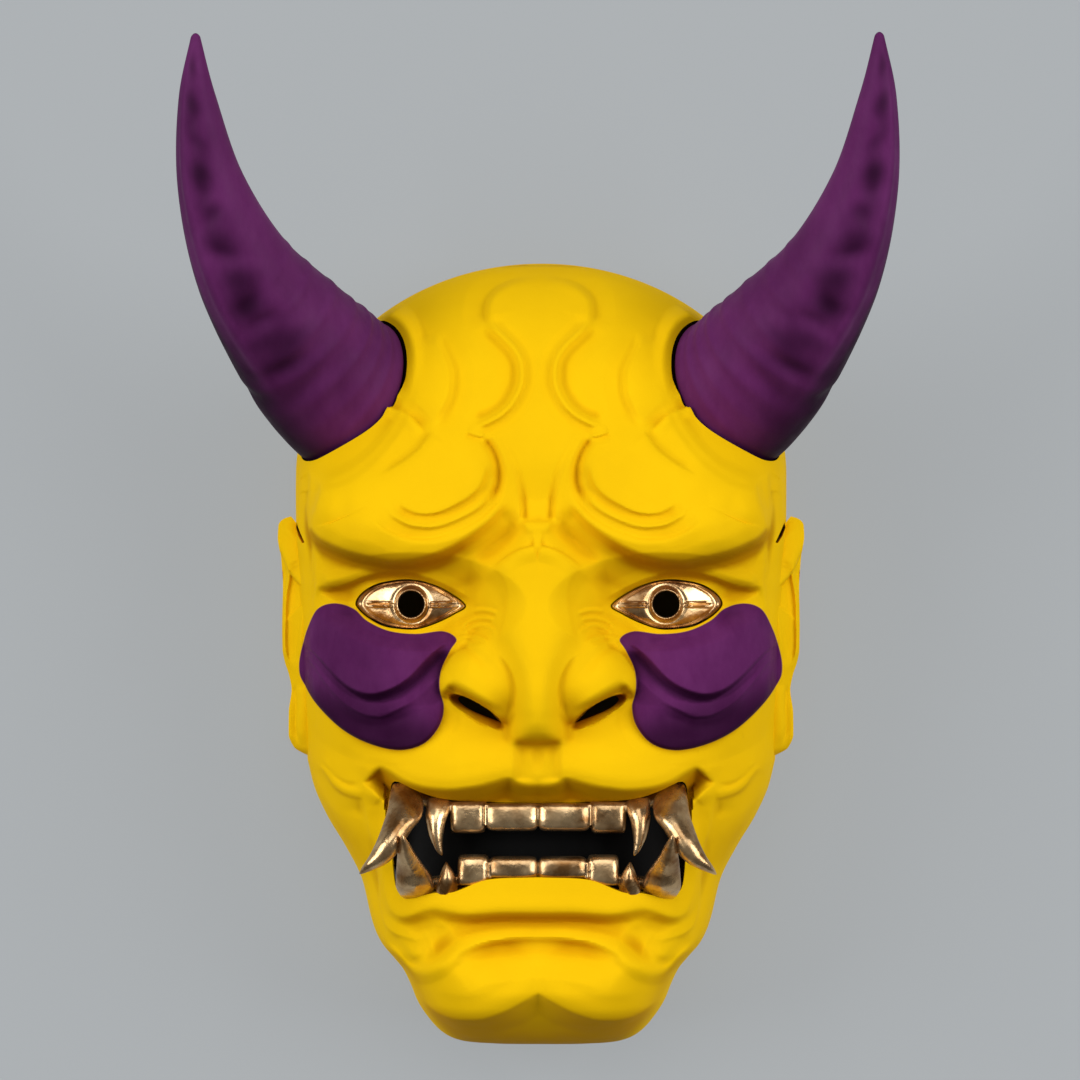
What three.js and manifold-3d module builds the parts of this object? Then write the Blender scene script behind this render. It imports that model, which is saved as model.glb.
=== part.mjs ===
// A hollow oni mask that lies on its back rim. +Z is out of the face, +Y towards the crown and +X to
// the viewer's right.
// The origin is under the middle of the mask, level with the rim.
import * as THREE from "three";
import { mergeVertices } from "three/addons/utils/BufferGeometryUtils.js";
import Module from "manifold-3d";

const wasm = await Module();
wasm.setup();

// Driving dimensions, in millimetres. Places on the face are (u, v): u is the distance from the
// middle line, the same on both sides, and v runs up the face from the level between brow and nose.
const FACE_LEVEL_Y = 3.45;
const CROWN_Y = 86;
const CHIN_Y = -157;
const TEMPLE_HALF_WIDTH = 76.5;
const TEMPLE_Y = 20;
const EAR_FOOT_Y = -69;
const JAW_TOP_HALF_WIDTH = 73;
const WIDEST_Z = 30;
const WALL = 4;
const GAP = 0.35;
const RIM_TUCK = 0.05;
const GRID_CENTRE_Y = -28;
const GRID = { columns: 32, rows: 50, rings: 2, crowd: 0.26 };
// Share of the way out over which the grid lines are evenly spaced; past it they draw together
const EVEN_SHARE = 0.72;
// Heights that cuts start and end at, clear of the shell above and below
const CUT = { low: 30, mouthLow: 40, nostrilLow: 50, high: 140 };
const EYE = {
  u: 38.5, v: -19.8, floorZ: 76.5, rimZ: 79, domeZ: 84.5, slope: 0.42, pupil: 3.95, behind: 0.78,
  steps: [0.3, 0.65, 1],
};
const MOUTH = {
  v: -91, reach: [56, 30], backZ: 76, panelZ: 79, bow: 0.0045, panelHalf: 43.4, panelSteps: 14,
};
const TEETH = {
  sides: 8, stripSteps: 8, deep: 7, frontZ: 90.5, rootZ: 85, strip: 4.5, squareness: 0.7,
  bevel: { rise: 1.2, narrow: 0.86, thin: 1 },
};
const NOSTRIL_LEAN = 0.4;
// Each horn: knots [u, v, z] of its path and its radius at each, its foot's axis, and its seat in the shell
const HORN = {
  path: [[61, 46, 60], [73.5, 60, 73], [88, 80.5, 88], [97.3, 105, 98], [101, 130, 104], [101.4, 150, 106.5]],
  radii: [24, 20.9, 15.4, 10.3, 5.8, 0.7],
  axis: [0.703, 0.356, 0.616],
  foot: 24, footRound: 1.5, sink: 5, collar: 2.4, pad: 6, lip: 1.5, clear: 30,
  sides: 16, steps: 11, seatSides: 26, footBlend: 0.22,
};
// Rows of an ear: v, how far its back edge reaches out, and the heights of its front and back edges
const EAR = {
  rows: [
    [7.5, 79.5, 30, 24], [5, 83, 38, 18], [0, 84, 44, 15], [-10, 83.4, 48, 14], [-22, 82.3, 49, 15],
    [-34, 81.6, 48, 18], [-42, 80, 46, 22], [-49, 79.4, 45, 26], [-58, 80, 45, 29], [-64, 78, 43, 32],
    [-67, 75, 40, 35],
  ],
  thickness: 4.5, bury: 3, belly: 1.5,
};

// Colours and finishes
const COLOURS = {
  paint: { color: 0xf2c315, roughness: 0.55, metalness: 0 },
  purple: { color: 0x4d1a49, roughness: 0.42, metalness: 0 },
  gilt: { color: 0xa57d4c, roughness: 0.3, metalness: 0.9 },
  black: { color: 0x0b0b0b, roughness: 0.6, metalness: 0 },
};

// Half-width of the head below the ears, and the height of the middle line, against v
const JAW = [
  [-157, 0], [-156.3, 14], [-155, 23], [-152, 30.5], [-147, 35.5], [-140, 39.5], [-133, 43.5],
  [-126, 48.5], [-118, 52.3], [-106, 56], [-96, 61], [-86, 67], [-77, 71], [-69, 73],
];
const PROFILE = [
  [-157, 30], [-156, 45], [-154, 57], [-150, 70], [-144, 81], [-136, 87], [-126, 88], [-110, 89],
  [-90, 91], [-60, 92], [-30, 92], [-8, 93], [6, 95], [20, 94], [36, 89], [52, 80.5], [64, 71],
  [73, 60.5], [80, 49.5], [84, 39.5], [86, 30],
];

// Carved lines of the face. The side that stands proud is on the left of each line.
const LINES = {
  brow: [[7.7, 11.6], [12.5, 5], [20, -1], [30, -5.5], [41, -7.4], [52, -6.6], [62, -3.4], [68.3, 1.5],
    [69, 7], [66.5, 13]],
  eyelid: [[17.9, -19.1], [22, -16], [29.3, -12.5], [38, -10.4], [47.3, -10.7], [56, -13.2], [66, -14.8]],
  forehead: [[0, 80], [8, 79], [14.3, 75], [15, 67], [10.5, 60], [4.4, 53.5], [3.3, 48.5], [6.5, 41],
    [12, 34.5], [16.3, 30]],
  browArc: [[8, 16], [13, 10], [21, 5.4], [31, 2.6], [40, 3], [46, 6], [49, 9]],
  hornFold: [[29.9, 65], [27, 55], [25.7, 46], [28.5, 36.5], [33.5, 27.5], [41, 21], [50, 16.5]],
  cheek: [[73.7, -33], [71.5, -26.5], [66.8, -20.6], [60, -19.6], [54, -23.8], [47, -27.5],
    [38.3, -28.6], [29.3, -27.8], [24.5, -30.5], [28, -36.5], [29.3, -42.5], [28.4, -53],
    [33, -60.8], [42, -63.2], [54.8, -60.5], [66, -54], [73.5, -44.5]],
  cheekRidge: [[72.5, -33.5], [67, -35.5], [61, -41.5], [54.5, -45.8], [48, -46.6], [42.8, -44.6],
    [36.8, -38], [31, -33]],
  upperLip: [[54, -74], [46.5, -68.4], [41.3, -71.3], [34, -74.3], [23, -74.9], [14.3, -73.3],
    [7, -72], [0, -72]],
  mouthFold: [[52.4, -78.5], [50.8, -89], [49, -101], [48.6, -112], [46.5, -119.2], [39.8, -121.2]],
  lowerLip: [[44, -112], [39.5, -114.5], [31.7, -111.6], [20, -112.6], [0, -112.2]],
  chinCrease: [[0, -119.9], [9, -120.5], [17.5, -122.6], [28.5, -128]],
  chinEdge: [[35.3, -140], [28, -144.6], [18.8, -145.7], [8, -142.6], [2.3, -138.5], [0, -135.5]],
};
const EYE_OUTLINE = [[21.8, -20.3], [27.8, -15.8], [34, -13], [41, -12.2], [48, -13.4], [53, -16.3],
  [55.4, -19.4], [50, -24.2], [44, -26.8], [38, -27.2], [31, -25.6], [25.5, -22.6]];
const NOSTRIL_OUTLINE = [[24.8, -47.6], [19.5, -47.2], [14, -50.2], [10.6, -55.2], [14.5, -55], [20, -51]];
const MOUTH_OUTLINE = [[0, -79.7], [17, -79.4], [29, -78.2], [37, -76], [43.2, -73.8], [45, -77],
  [44.8, -87], [44.4, -98], [44.2, -105], [41, -108.8], [32, -107.4], [22, -105], [13, -102.1],
  [0, -101.6]];
// Which points of the mouth's outline end its upper edge and start its lower one
const MOUTH_CORNER = 4;
const MOUTH_LOW_CORNER = 8;

function smooth(t) {
  const k = Math.min(1, Math.max(0, t));
  return k * k * (3 - 2 * k);
}

// Smooth curve through [x, y] knots that doesn't swing past them
function flow(x, knots) {
  const last = knots.length - 1;
  const at = Math.min(knots[last][0], Math.max(knots[0][0], x));
  let i = 0;
  while (i < last - 1 && at > knots[i + 1][0]) i++;
  const slope = (k) => (knots[k + 1][1] - knots[k][1]) / (knots[k + 1][0] - knots[k][0]);
  const tangent = (k) => {
    if (k === 0) return slope(0);
    if (k === last) return slope(last - 1);
    const before = slope(k - 1);
    const after = slope(k);
    return before * after <= 0 ? 0 : (2 * before * after) / (before + after);
  };
  const span = knots[i + 1][0] - knots[i][0];
  const t = (at - knots[i][0]) / span;
  return (
    knots[i][1] * (1 + 2 * t) * (1 - t) ** 2 +
    tangent(i) * span * t * (1 - t) ** 2 +
    knots[i + 1][1] * t * t * (3 - 2 * t) -
    tangent(i + 1) * span * t * t * (1 - t)
  );
}

// Half-width of the head at v
function halfWidth(v) {
  if (v >= TEMPLE_Y) {
    const rise = (v - TEMPLE_Y) / (CROWN_Y - TEMPLE_Y);
    return TEMPLE_HALF_WIDTH * Math.sqrt(Math.max(0, 1 - rise * rise));
  }
  if (v < EAR_FOOT_Y) return flow(v, JAW);
  const fall = (TEMPLE_Y - v) / (TEMPLE_Y - EAR_FOOT_Y);
  return TEMPLE_HALF_WIDTH - (TEMPLE_HALF_WIDTH - JAW_TOP_HALF_WIDTH) * fall * fall;
}

// Rounded bump of height 1, with radii ru and rv, turned about its centre
function bump(u, v, cu, cv, ru, rv, turn = 0) {
  const a = THREE.MathUtils.degToRad(turn);
  const p = ((u - cu) * Math.cos(a) + (v - cv) * Math.sin(a)) / ru;
  const q = ((v - cv) * Math.cos(a) - (u - cu) * Math.sin(a)) / rv;
  const inside = Math.max(0, 1 - p * p - q * q);
  return inside * inside;
}

// A smooth line on the face, cut into short straight steps
function trace(points, closed = false, steps = 4) {
  const knots = points.map(([u, v]) => new THREE.Vector3(u, v, 0));
  const line = new THREE.CatmullRomCurve3(knots, closed, "centripetal");
  return line.getPoints(points.length * steps);
}
const TRACES = Object.fromEntries(
  Object.entries(LINES).map(([name, points]) => [name, trace(points, name === "cheek")]),
);

// Signed distance d from a line, positive on its left, and the place t from 0 to 1 along it
function near(name, u, v) {
  const line = TRACES[name];
  let best = { d: Infinity, t: 0 };
  for (let i = 0; i < line.length - 1; i++) {
    const a = line[i];
    const du = line[i + 1].x - a.x;
    const dv = line[i + 1].y - a.y;
    const along = ((u - a.x) * du + (v - a.y) * dv) / (du * du + dv * dv);
    const k = Math.min(1, Math.max(0, along));
    const pu = u - a.x - k * du;
    const pv = v - a.y - k * dv;
    const d = Math.hypot(pu, pv);
    if (d < Math.abs(best.d)) {
      const side = du * pv - dv * pu >= 0 ? 1 : -1;
      best = { d: side * d, t: (i + k) / (line.length - 1) };
    }
  }
  return best;
}

// Fades a line out at its two ends
function ends(t, fade) {
  return smooth(t / fade) * smooth((1 - t) / fade);
}

// Overlapping edge: proud by high on the left of the line, cut back by low on its right
function lip(name, u, v, high, reach, low, lowReach, fade = 0.12) {
  const { d, t } = near(name, u, v);
  const up = smooth(d / 3 + 0.5);
  const proud = high * up * Math.exp(-Math.max(d, 0) / reach);
  const cut = low * (1 - up) * Math.exp(-Math.max(-d, 0) / lowReach);
  return (proud - cut) * ends(t, fade);
}

function ridge(name, u, v, high, width, fade = 0.15) {
  const { d, t } = near(name, u, v);
  return high * Math.exp(-((d / width) ** 2)) * ends(t, fade);
}

// Plain rounded head form
function headForm(u, v) {
  const w = Math.max(halfWidth(v), 1e-6);
  const s = Math.min(1, u / w);
  return WIDEST_Z + (flow(v, PROFILE) - WIDEST_Z) * Math.sqrt(Math.max(0, 1 - s ** 2.6));
}

function noseForm(u, v) {
  const rise = flow(v, [[-64, 0], [-61.5, 4], [-59, 12], [-54, 20], [-48, 23], [-41, 22], [-32, 17],
    [-20, 12], [-10, 10], [0, 8], [10, 3], [16, 0]]);
  const width = flow(v, [[-64, 12], [-38, 13], [-20, 13], [-5, 12], [10, 10]]);
  const s = Math.min(1, u / width);
  return rise * (1 - s ** 2.6) ** 1.6 + 14 * bump(u, v, 18, -44, 17, 16, -10);
}

function browForm(u, v) {
  return (
    5 * bump(u, v, 38, 6, 42, 20, 8) -
    9 * bump(u, v, 38, -19, 40, 19, 4) +
    lip("brow", u, v, 5, 12, 4, 9) +
    lip("eyelid", u, v, 1.5, 5, 0.6, 3)
  );
}

function foreheadForm(u, v) {
  return (
    lip("forehead", u, v, -0.9, 4, -1.1, 7, 0.05) +
    lip("browArc", u, v, 1.2, 5, 0.8, 2) +
    lip("hornFold", u, v, -1.6, 7, 0, 2)
  );
}

function cheekForm(u, v) {
  const inside = smooth(near("cheek", u, v).d / 4 + 0.5);
  return (
    6 * bump(u, v, 50, -42, 34, 24, -20) +
    3 * inside +
    ridge("cheekRidge", u, v, 1.6, 3) +
    5 * bump(u, v, 22, -66, 44, 24, -20)
  );
}

function mouthForm(u, v) {
  return (
    lip("upperLip", u, v, -2.5, 7, 0, 2, 0.08) +
    lip("mouthFold", u, v, 3, 5, 0, 2) -
    ridge("lowerLip", u, v, 3, 4, 0.05)
  );
}

function chinForm(u, v) {
  return -ridge("chinCrease", u, v, 2.5, 3.2, 0.2) + lip("chinEdge", u, v, -2, 6, -1.5, 6, 0.1);
}

// Outer surface of the face at (u, v)
function faceHeight(u, v) {
  const inner = smooth((halfWidth(v) - u) / 9);
  const carving =
    noseForm(u, v) + browForm(u, v) + foreheadForm(u, v) + cheekForm(u, v) + mouthForm(u, v) + chinForm(u, v);
  return headForm(u, v) + inner * carving;
}

// Inner surface: the outer one set back by the wall, and thick behind the mouth
function hollowHeight(u, v) {
  let low = faceHeight(u, v) - WALL;
  const slant = WALL * Math.SQRT1_2;
  for (const [reach, drop] of [[slant, slant], [WALL, 0]]) {
    for (let k = 0; k < 8; k++) {
      const a = (k * Math.PI) / 4;
      const z = faceHeight(Math.abs(u + reach * Math.cos(a)), v + reach * Math.sin(a)) - drop;
      low = Math.min(low, z);
    }
  }
  const mouthBack = MOUTH.backZ - MOUTH.bow * u * u;
  const round = Math.hypot(u / MOUTH.reach[0], (v - MOUTH.v) / MOUTH.reach[1]);
  const thick = smooth((1.25 - round) / 0.25);
  return Math.min(low, mouthBack * thick + low * (1 - thick));
}

// Distance from the grid's centre to the head's outline in each direction
function outlineReach(inset) {
  const points = [];
  const steps = 720;
  for (let i = 0; i <= steps; i++) {
    const v = CHIN_Y + (CROWN_Y - CHIN_Y) * (0.5 - 0.5 * Math.cos((i / steps) * Math.PI));
    const w = halfWidth(v);
    points.push([Math.atan2(v - GRID_CENTRE_Y, w), Math.hypot(w, v - GRID_CENTRE_Y)]);
  }
  return (angle) => {
    const folded = Math.asin(Math.sin(angle));
    let i = 1;
    while (i < steps && points[i][0] < folded) i++;
    const [a0, r0] = points[i - 1];
    const [a1, r1] = points[i];
    const t = Math.min(1, Math.max(0, (folded - a0) / (a1 - a0)));
    return r0 + (r1 - r0) * t - inset;
  };
}

// Moves grid lines towards the middle, where the carving is finest
function crowded(k) {
  return k * (1 - GRID.crowd + GRID.crowd * k * k);
}

// One skin of the shell: a square grid drawn out to the head's outline, then rings down to the rim
function skin(columns, rows, rings, reach, height) {
  const points = [];
  const faces = [];
  const pace = 2 / (1 + EVEN_SHARE);
  const close = pace / (2 * (1 - EVEN_SHARE));
  const spread = (r) => (r < EVEN_SHARE ? pace * r : 1 - close * (1 - r) ** 2);
  for (let j = 0; j <= rows; j++) {
    for (let i = 0; i <= columns; i++) {
      const s = crowded((2 * i) / columns - 1);
      const t = crowded((2 * j) / rows - 1);
      const a = s * Math.sqrt(1 - (t * t) / 2);
      const b = t * Math.sqrt(1 - (s * s) / 2);
      const r = Math.hypot(a, b);
      const angle = Math.atan2(b, a);
      const far = spread(Math.min(1, r)) * reach(angle);
      const x = far * Math.cos(angle);
      const y = GRID_CENTRE_Y + far * Math.sin(angle);
      points.push([x, y, r > 0.9999 ? WIDEST_Z : height(Math.abs(x), y)]);
    }
  }
  const at = (i, j) => j * (columns + 1) + i;
  for (let j = 0; j < rows; j++) {
    for (let i = 0; i < columns; i++) {
      faces.push([at(i, j), at(i + 1, j), at(i + 1, j + 1)], [at(i, j), at(i + 1, j + 1), at(i, j + 1)]);
    }
  }
  let edge = [];
  for (let i = 0; i < columns; i++) edge.push(at(i, 0));
  for (let j = 0; j < rows; j++) edge.push(at(columns, j));
  for (let i = columns; i > 0; i--) edge.push(at(i, rows));
  for (let j = rows; j > 0; j--) edge.push(at(0, j));
  const border = edge;
  for (let ring = 1; ring <= rings; ring++) {
    const down = ring / rings;
    const next = border.map((_, k) => {
      const [x, y] = points[border[k]];
      const scale = 1 - RIM_TUCK * down * down;
      points.push([x * scale, GRID_CENTRE_Y + (y - GRID_CENTRE_Y) * scale, WIDEST_Z * (1 - down)]);
      return points.length - 1;
    });
    edge.forEach((a, k) => {
      const b = edge[(k + 1) % edge.length];
      const c = next[(k + 1) % edge.length];
      const d = next[k];
      faces.push([b, a, d], [b, d, c]);
    });
    edge = next;
  }
  return { points, faces, edge };
}

// Closed shell from an outer skin and a coarser inner one with half as many steps each way
function shellGeometry() {
  const outer = skin(GRID.columns, GRID.rows, GRID.rings, outlineReach(0), faceHeight);
  const inner = skin(GRID.columns / 2, GRID.rows / 2, 2, outlineReach(WALL), hollowHeight);
  const shift = outer.points.length;
  const points = outer.points.concat(inner.points);
  const faces = outer.faces.concat(inner.faces.map(([a, b, c]) => [a + shift, c + shift, b + shift]));
  const rim = outer.edge;
  inner.edge.forEach((from, k) => {
    const here = from + shift;
    const there = inner.edge[(k + 1) % inner.edge.length] + shift;
    const [a, b, c] = [rim[2 * k], rim[2 * k + 1], rim[(2 * k + 2) % rim.length]];
    faces.push([b, a, here], [c, b, there], [b, here, there]);
  });
  return meshFrom(points, faces);
}

function meshFrom(points, faces) {
  const geometry = new THREE.BufferGeometry();
  geometry.setAttribute("position", new THREE.Float32BufferAttribute(points.flat(), 3));
  geometry.setIndex(faces.flat());
  return geometry;
}

// A closed solid through a row of rings with equally many points, capped at both ends
function sweep(rings) {
  const n = rings[0].length;
  const points = rings.flat();
  const faces = [];
  for (let r = 0; r < rings.length - 1; r++) {
    for (let k = 0; k < n; k++) {
      const a = r * n + k;
      const b = r * n + ((k + 1) % n);
      faces.push([a, b, b + n], [a, b + n, a + n]);
    }
  }
  for (const [ring, turned] of [[0, true], [rings.length - 1, false]]) {
    const middle = rings[ring].reduce((sum, p) => sum.map((x, i) => x + p[i] / n), [0, 0, 0]);
    points.push(middle);
    for (let k = 0; k < n; k++) {
      const a = ring * n + k;
      const b = ring * n + ((k + 1) % n);
      faces.push(turned ? [points.length - 1, b, a] : [points.length - 1, a, b]);
    }
  }
  return meshFrom(points, faces);
}

// Solids of manifold-3d from closed geometry, and back
function solid(geometry) {
  const bare = geometry.clone();
  bare.deleteAttribute("normal");
  bare.deleteAttribute("uv");
  const merged = mergeVertices(bare, 1e-4);
  const made = new wasm.Manifold(
    new wasm.Mesh({
      numProp: 3,
      vertProperties: new Float32Array(merged.attributes.position.array),
      triVerts: new Uint32Array(merged.index.array),
    }),
  );
  if (made.volume() > 0) return made;
  const faces = merged.index.array.slice();
  for (let i = 0; i < faces.length; i += 3) [faces[i + 1], faces[i + 2]] = [faces[i + 2], faces[i + 1]];
  return new wasm.Manifold(
    new wasm.Mesh({
      numProp: 3,
      vertProperties: new Float32Array(merged.attributes.position.array),
      triVerts: new Uint32Array(faces),
    }),
  );
}

function geometryOf(made) {
  const mesh = made.getMesh();
  const geometry = new THREE.BufferGeometry();
  const positions = new Float32Array(mesh.numVert * 3);
  for (let i = 0; i < mesh.numVert; i++) {
    positions.set(mesh.vertProperties.subarray(i * mesh.numProp, i * mesh.numProp + 3), i * 3);
  }
  geometry.setAttribute("position", new THREE.BufferAttribute(positions, 3));
  geometry.setIndex(new THREE.BufferAttribute(mesh.triVerts, 1));
  geometry.computeVertexNormals();
  return geometry;
}

// The outline moved inwards by inset, as a list of [x, y] on one side of the face
function outlinePoints(points, inset, side, closedCurve = true) {
  const line = closedCurve ? trace(points, true, 2).slice(0, -1) : points.map(([u, v]) => ({ x: u, y: v }));
  const area = line.reduce((sum, p, i) => {
    const q = line[(i + 1) % line.length];
    return sum + p.x * q.y - q.x * p.y;
  }, 0);
  const turn = Math.sign(area);
  const moved = line.map((p, i) => {
    const a = line[(i + line.length - 1) % line.length];
    const b = line[(i + 1) % line.length];
    const length = Math.hypot(b.x - a.x, b.y - a.y);
    return [p.x - (turn * inset * (b.y - a.y)) / length, p.y + (turn * inset * (b.x - a.x)) / length];
  });
  return moved.map(([x, y]) => [side * x, y]);
}

// Upright prism on an outline, leaning by slopes in x and y as it rises, with a floor that may slope too
function prism(points, low, high, lean = { x: 0, y: 0 }, floor = { slope: 0, x: 0 }) {
  const shape = new THREE.Shape(points.map(([x, y]) => new THREE.Vector2(x, y)));
  const geometry = new THREE.ExtrudeGeometry(shape, { depth: high - low, bevelEnabled: false });
  const position = geometry.attributes.position;
  for (let i = 0; i < position.count; i++) {
    const x = position.getX(i);
    const z = position.getZ(i) + low - floor.slope * (Math.abs(x) - floor.x);
    const rise = z - (low + high) / 2;
    position.setXYZ(i, x + lean.x * rise, position.getY(i) + lean.y * rise, z);
  }
  return solid(geometry);
}

// The frame of a horn's foot: its centre, the way it points and two directions across it
function hornSeat(side) {
  const axis = new THREE.Vector3(side * HORN.axis[0], HORN.axis[1], HORN.axis[2]).normalize();
  const across = new THREE.Vector3(side * axis.y, -Math.abs(axis.x), 0).normalize();
  const other = new THREE.Vector3().crossVectors(axis, across);
  const centre = new THREE.Vector3(side * HORN.path[0][0], HORN.path[0][1], HORN.path[0][2]);
  centre.addScaledVector(axis, -HORN.sink);
  return { axis, across, other, centre };
}

// A round plug along a horn's axis, from low to high above its seat
function hornPlug(side, radius, low, high) {
  const seat = hornSeat(side);
  const rings = [low, high].map((h) => {
    return Array.from({ length: HORN.seatSides }, (_, k) => {
      const a = (2 * k * Math.PI) / HORN.seatSides;
      const p = seat.centre.clone().addScaledVector(seat.axis, h);
      p.addScaledVector(seat.across, radius * Math.cos(a)).addScaledVector(seat.other, radius * Math.sin(a));
      return p.toArray();
    });
  });
  return solid(sweep(rings));
}

// A horn: round rings along its path, square to the foot first and to the path further on
function hornSolid(side) {
  const seat = hornSeat(side);
  const foot = seat.centre.clone().addScaledVector(seat.axis, GAP);
  const path = HORN.path.slice(1).map(([u, v, z]) => new THREE.Vector3(side * u, v, z));
  const line = new THREE.CatmullRomCurve3([foot, ...path], false, "centripetal");
  const rings = [];
  const across = seat.across.clone();
  for (let k = 0; k <= HORN.steps; k++) {
    const t = k / HORN.steps;
    const blend = smooth(t / HORN.footBlend);
    const normal = seat.axis.clone().lerp(line.getTangent(t), blend).normalize();
    across.addScaledVector(normal, -across.dot(normal)).normalize();
    const other = new THREE.Vector3().crossVectors(normal, across);
    const radius = flow(line.getUtoTmapping(t) * (HORN.radii.length - 1), HORN.radii.map((r, i) => [i, r]));
    const rounded = k === 0 ? radius - HORN.footRound : radius;
    const centre = line.getPoint(line.getUtoTmapping(t));
    rings.push(Array.from({ length: HORN.sides }, (_, i) => {
      const a = (2 * i * Math.PI) / HORN.sides;
      const p = centre.clone().addScaledVector(across, rounded * Math.cos(a));
      return p.addScaledVector(other, rounded * Math.sin(a)).toArray();
    }));
    if (k === 0) {
      rings.push(rings[0].map((p) => {
        const out = new THREE.Vector3(...p).sub(foot).setLength(radius);
        return foot.clone().add(out).addScaledVector(seat.axis, HORN.footRound).toArray();
      }));
    }
  }
  return solid(sweep(rings));
}

// An ear: a plate that springs from the side of the head and flares outwards to its back edge
function earSolid(side) {
  const rings = EAR.rows.map(([v, reach, front, back]) => {
    const root = halfWidth(v) - EAR.bury;
    const half = EAR.thickness / 2;
    const [midX, midZ] = [(root + reach) / 2, (front + back) / 2];
    const section = [
      [root, front + half], [midX + EAR.belly, midZ + half + EAR.belly], [reach, back + half],
      [reach - 1, back - half], [midX - half, midZ - half - 1], [root, front - EAR.thickness],
    ];
    return section.map(([x, z]) => [side * x, v, z]);
  });
  return solid(sweep(rings));
}

// The face: one hollow casting with its ears, seats for the horns, and its openings
function makeFaceShell() {
  let shell = solid(shellGeometry());
  for (const side of [-1, 1]) {
    shell = shell.add(earSolid(side));
    shell = shell.add(hornPlug(side, HORN.foot + HORN.collar, -HORN.pad, HORN.lip));
    shell = shell.subtract(hornPlug(side, HORN.foot + 2 * GAP, 0, HORN.clear));
    const floor = { slope: EYE.slope, x: EYE.u };
    const socket = outlinePoints(EYE_OUTLINE, 0, side);
    shell = shell.subtract(prism(socket, EYE.floorZ, CUT.high, undefined, floor));
    const behind = socket.map(([x, y]) => {
      return [side * EYE.u + EYE.behind * (x - side * EYE.u), EYE.v + EYE.behind * (y - EYE.v)];
    });
    shell = shell.subtract(prism(behind, CUT.low, CUT.high));
    const hole = outlinePoints(NOSTRIL_OUTLINE, 0, side);
    shell = shell.subtract(prism(hole, CUT.nostrilLow, CUT.high, { x: 0, y: -NOSTRIL_LEAN }));
  }
  const mouth = mirrored(outlinePoints(MOUTH_OUTLINE, 0, 1, false));
  shell = shell.subtract(prism(mouth, CUT.mouthLow, CUT.high));
  return largest(shell);
}

// The right half of an outline that starts and ends on the middle line, with its mirror image
function mirrored(points) {
  const half = points.map(([x, y], i) => (i === 0 || i === points.length - 1 ? [0, y] : [x, y]));
  const other = half.slice(1, -1).reverse().map(([x, y]) => [-x, y]);
  return half.concat(other);
}

function largest(made) {
  return made.decompose().sort((a, b) => b.volume() - a.volume())[0];
}

// An eye: a domed almond with a pupil hole, thin at its rim
function makeEye(side) {
  const rim = outlinePoints(EYE_OUTLINE, GAP, side);
  const angles = rim.map(([x, y]) => Math.atan2(y - EYE.v, x - side * EYE.u));
  const plane = (x) => EYE.slope * (Math.abs(x) - EYE.u);
  const dome = (k) => EYE.rimZ + (EYE.domeZ - EYE.rimZ) * Math.sin((k * Math.PI) / 2);
  const ringAt = (k, z) => rim.map(([x, y], i) => {
    const px = side * EYE.u + EYE.pupil * Math.cos(angles[i]);
    const py = EYE.v + EYE.pupil * Math.sin(angles[i]);
    const at = x + (px - x) * k;
    return [at, y + (py - y) * k, z - plane(at)];
  });
  const bottom = EYE.floorZ + GAP;
  const rings = [[0, bottom], [0, EYE.rimZ], ...EYE.steps.map((k) => [k, dome(k)]), [1, bottom]];
  const loops = rings.map(([k, z]) => ringAt(k, z));
  const n = rim.length;
  const faces = [];
  loops.forEach((_, r) => {
    const next = (r + 1) % loops.length;
    for (let k = 0; k < n; k++) {
      const l = (k + 1) % n;
      faces.push([r * n + k, r * n + l, next * n + l], [r * n + k, next * n + l, next * n + k]);
    }
  });
  return solid(meshFrom(loops.flat(), faces));
}

// Depth of the dental arch behind its front at the middle line
function arch(u) {
  return MOUTH.bow * u * u;
}

// A tooth or fang along a path of [u, v, z] with half-widths across and through at each place
function tooth(side, path) {
  const rings = path.map(([u, v, z, across, through]) => {
    return Array.from({ length: TEETH.sides }, (_, k) => {
      const a = (2 * k * Math.PI) / TEETH.sides + Math.PI / TEETH.sides;
      const square = 1 / Math.max(Math.abs(Math.cos(a)), Math.abs(Math.sin(a))) ** TEETH.squareness;
      return [side * (u + across * square * Math.cos(a)), v, z + through * square * Math.sin(a)];
    });
  });
  return solid(sweep(rings));
}

// A row of teeth on a root strip that lies against the panel
function makeTeeth(row) {
  let teeth = null;
  const join = (piece) => {
    teeth = teeth ? teeth.add(piece) : piece;
  };
  const sections = [];
  const reach = row.stripHalf;
  for (let k = -TEETH.stripSteps; k <= TEETH.stripSteps; k++) {
    const u = (reach * k) / TEETH.stripSteps;
    const front = TEETH.rootZ - arch(u);
    const back = MOUTH.panelZ + GAP - arch(u);
    const top = row.gum(Math.abs(u));
    const low = top + row.down * TEETH.strip;
    sections.push([[u, Math.max(top, low), front], [u, Math.max(top, low), back],
      [u, Math.min(top, low), back], [u, Math.min(top, low), front]]);
  }
  join(solid(sweep(sections)));
  for (const side of [-1, 1]) {
    for (const block of row.blocks) {
      const bevel = TEETH.bevel;
      const middle = (block.from + block.to) / 2;
      const half = (block.to - block.from) / 2;
      const z = TEETH.frontZ - TEETH.deep / 2 - arch(middle);
      const gum = row.down * Math.max(row.down * row.gum(block.from), row.down * row.gum(block.to));
      join(tooth(side, [
        [middle, gum, z, half, TEETH.deep / 2],
        [middle, block.tip - row.down * bevel.rise, z, half, TEETH.deep / 2],
        [middle, block.tip, z, half * bevel.narrow, TEETH.deep / 2 - bevel.thin],
      ]));
    }
    for (const fang of row.fangs) join(tooth(side, fang));
  }
  return largest(teeth);
}

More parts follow.
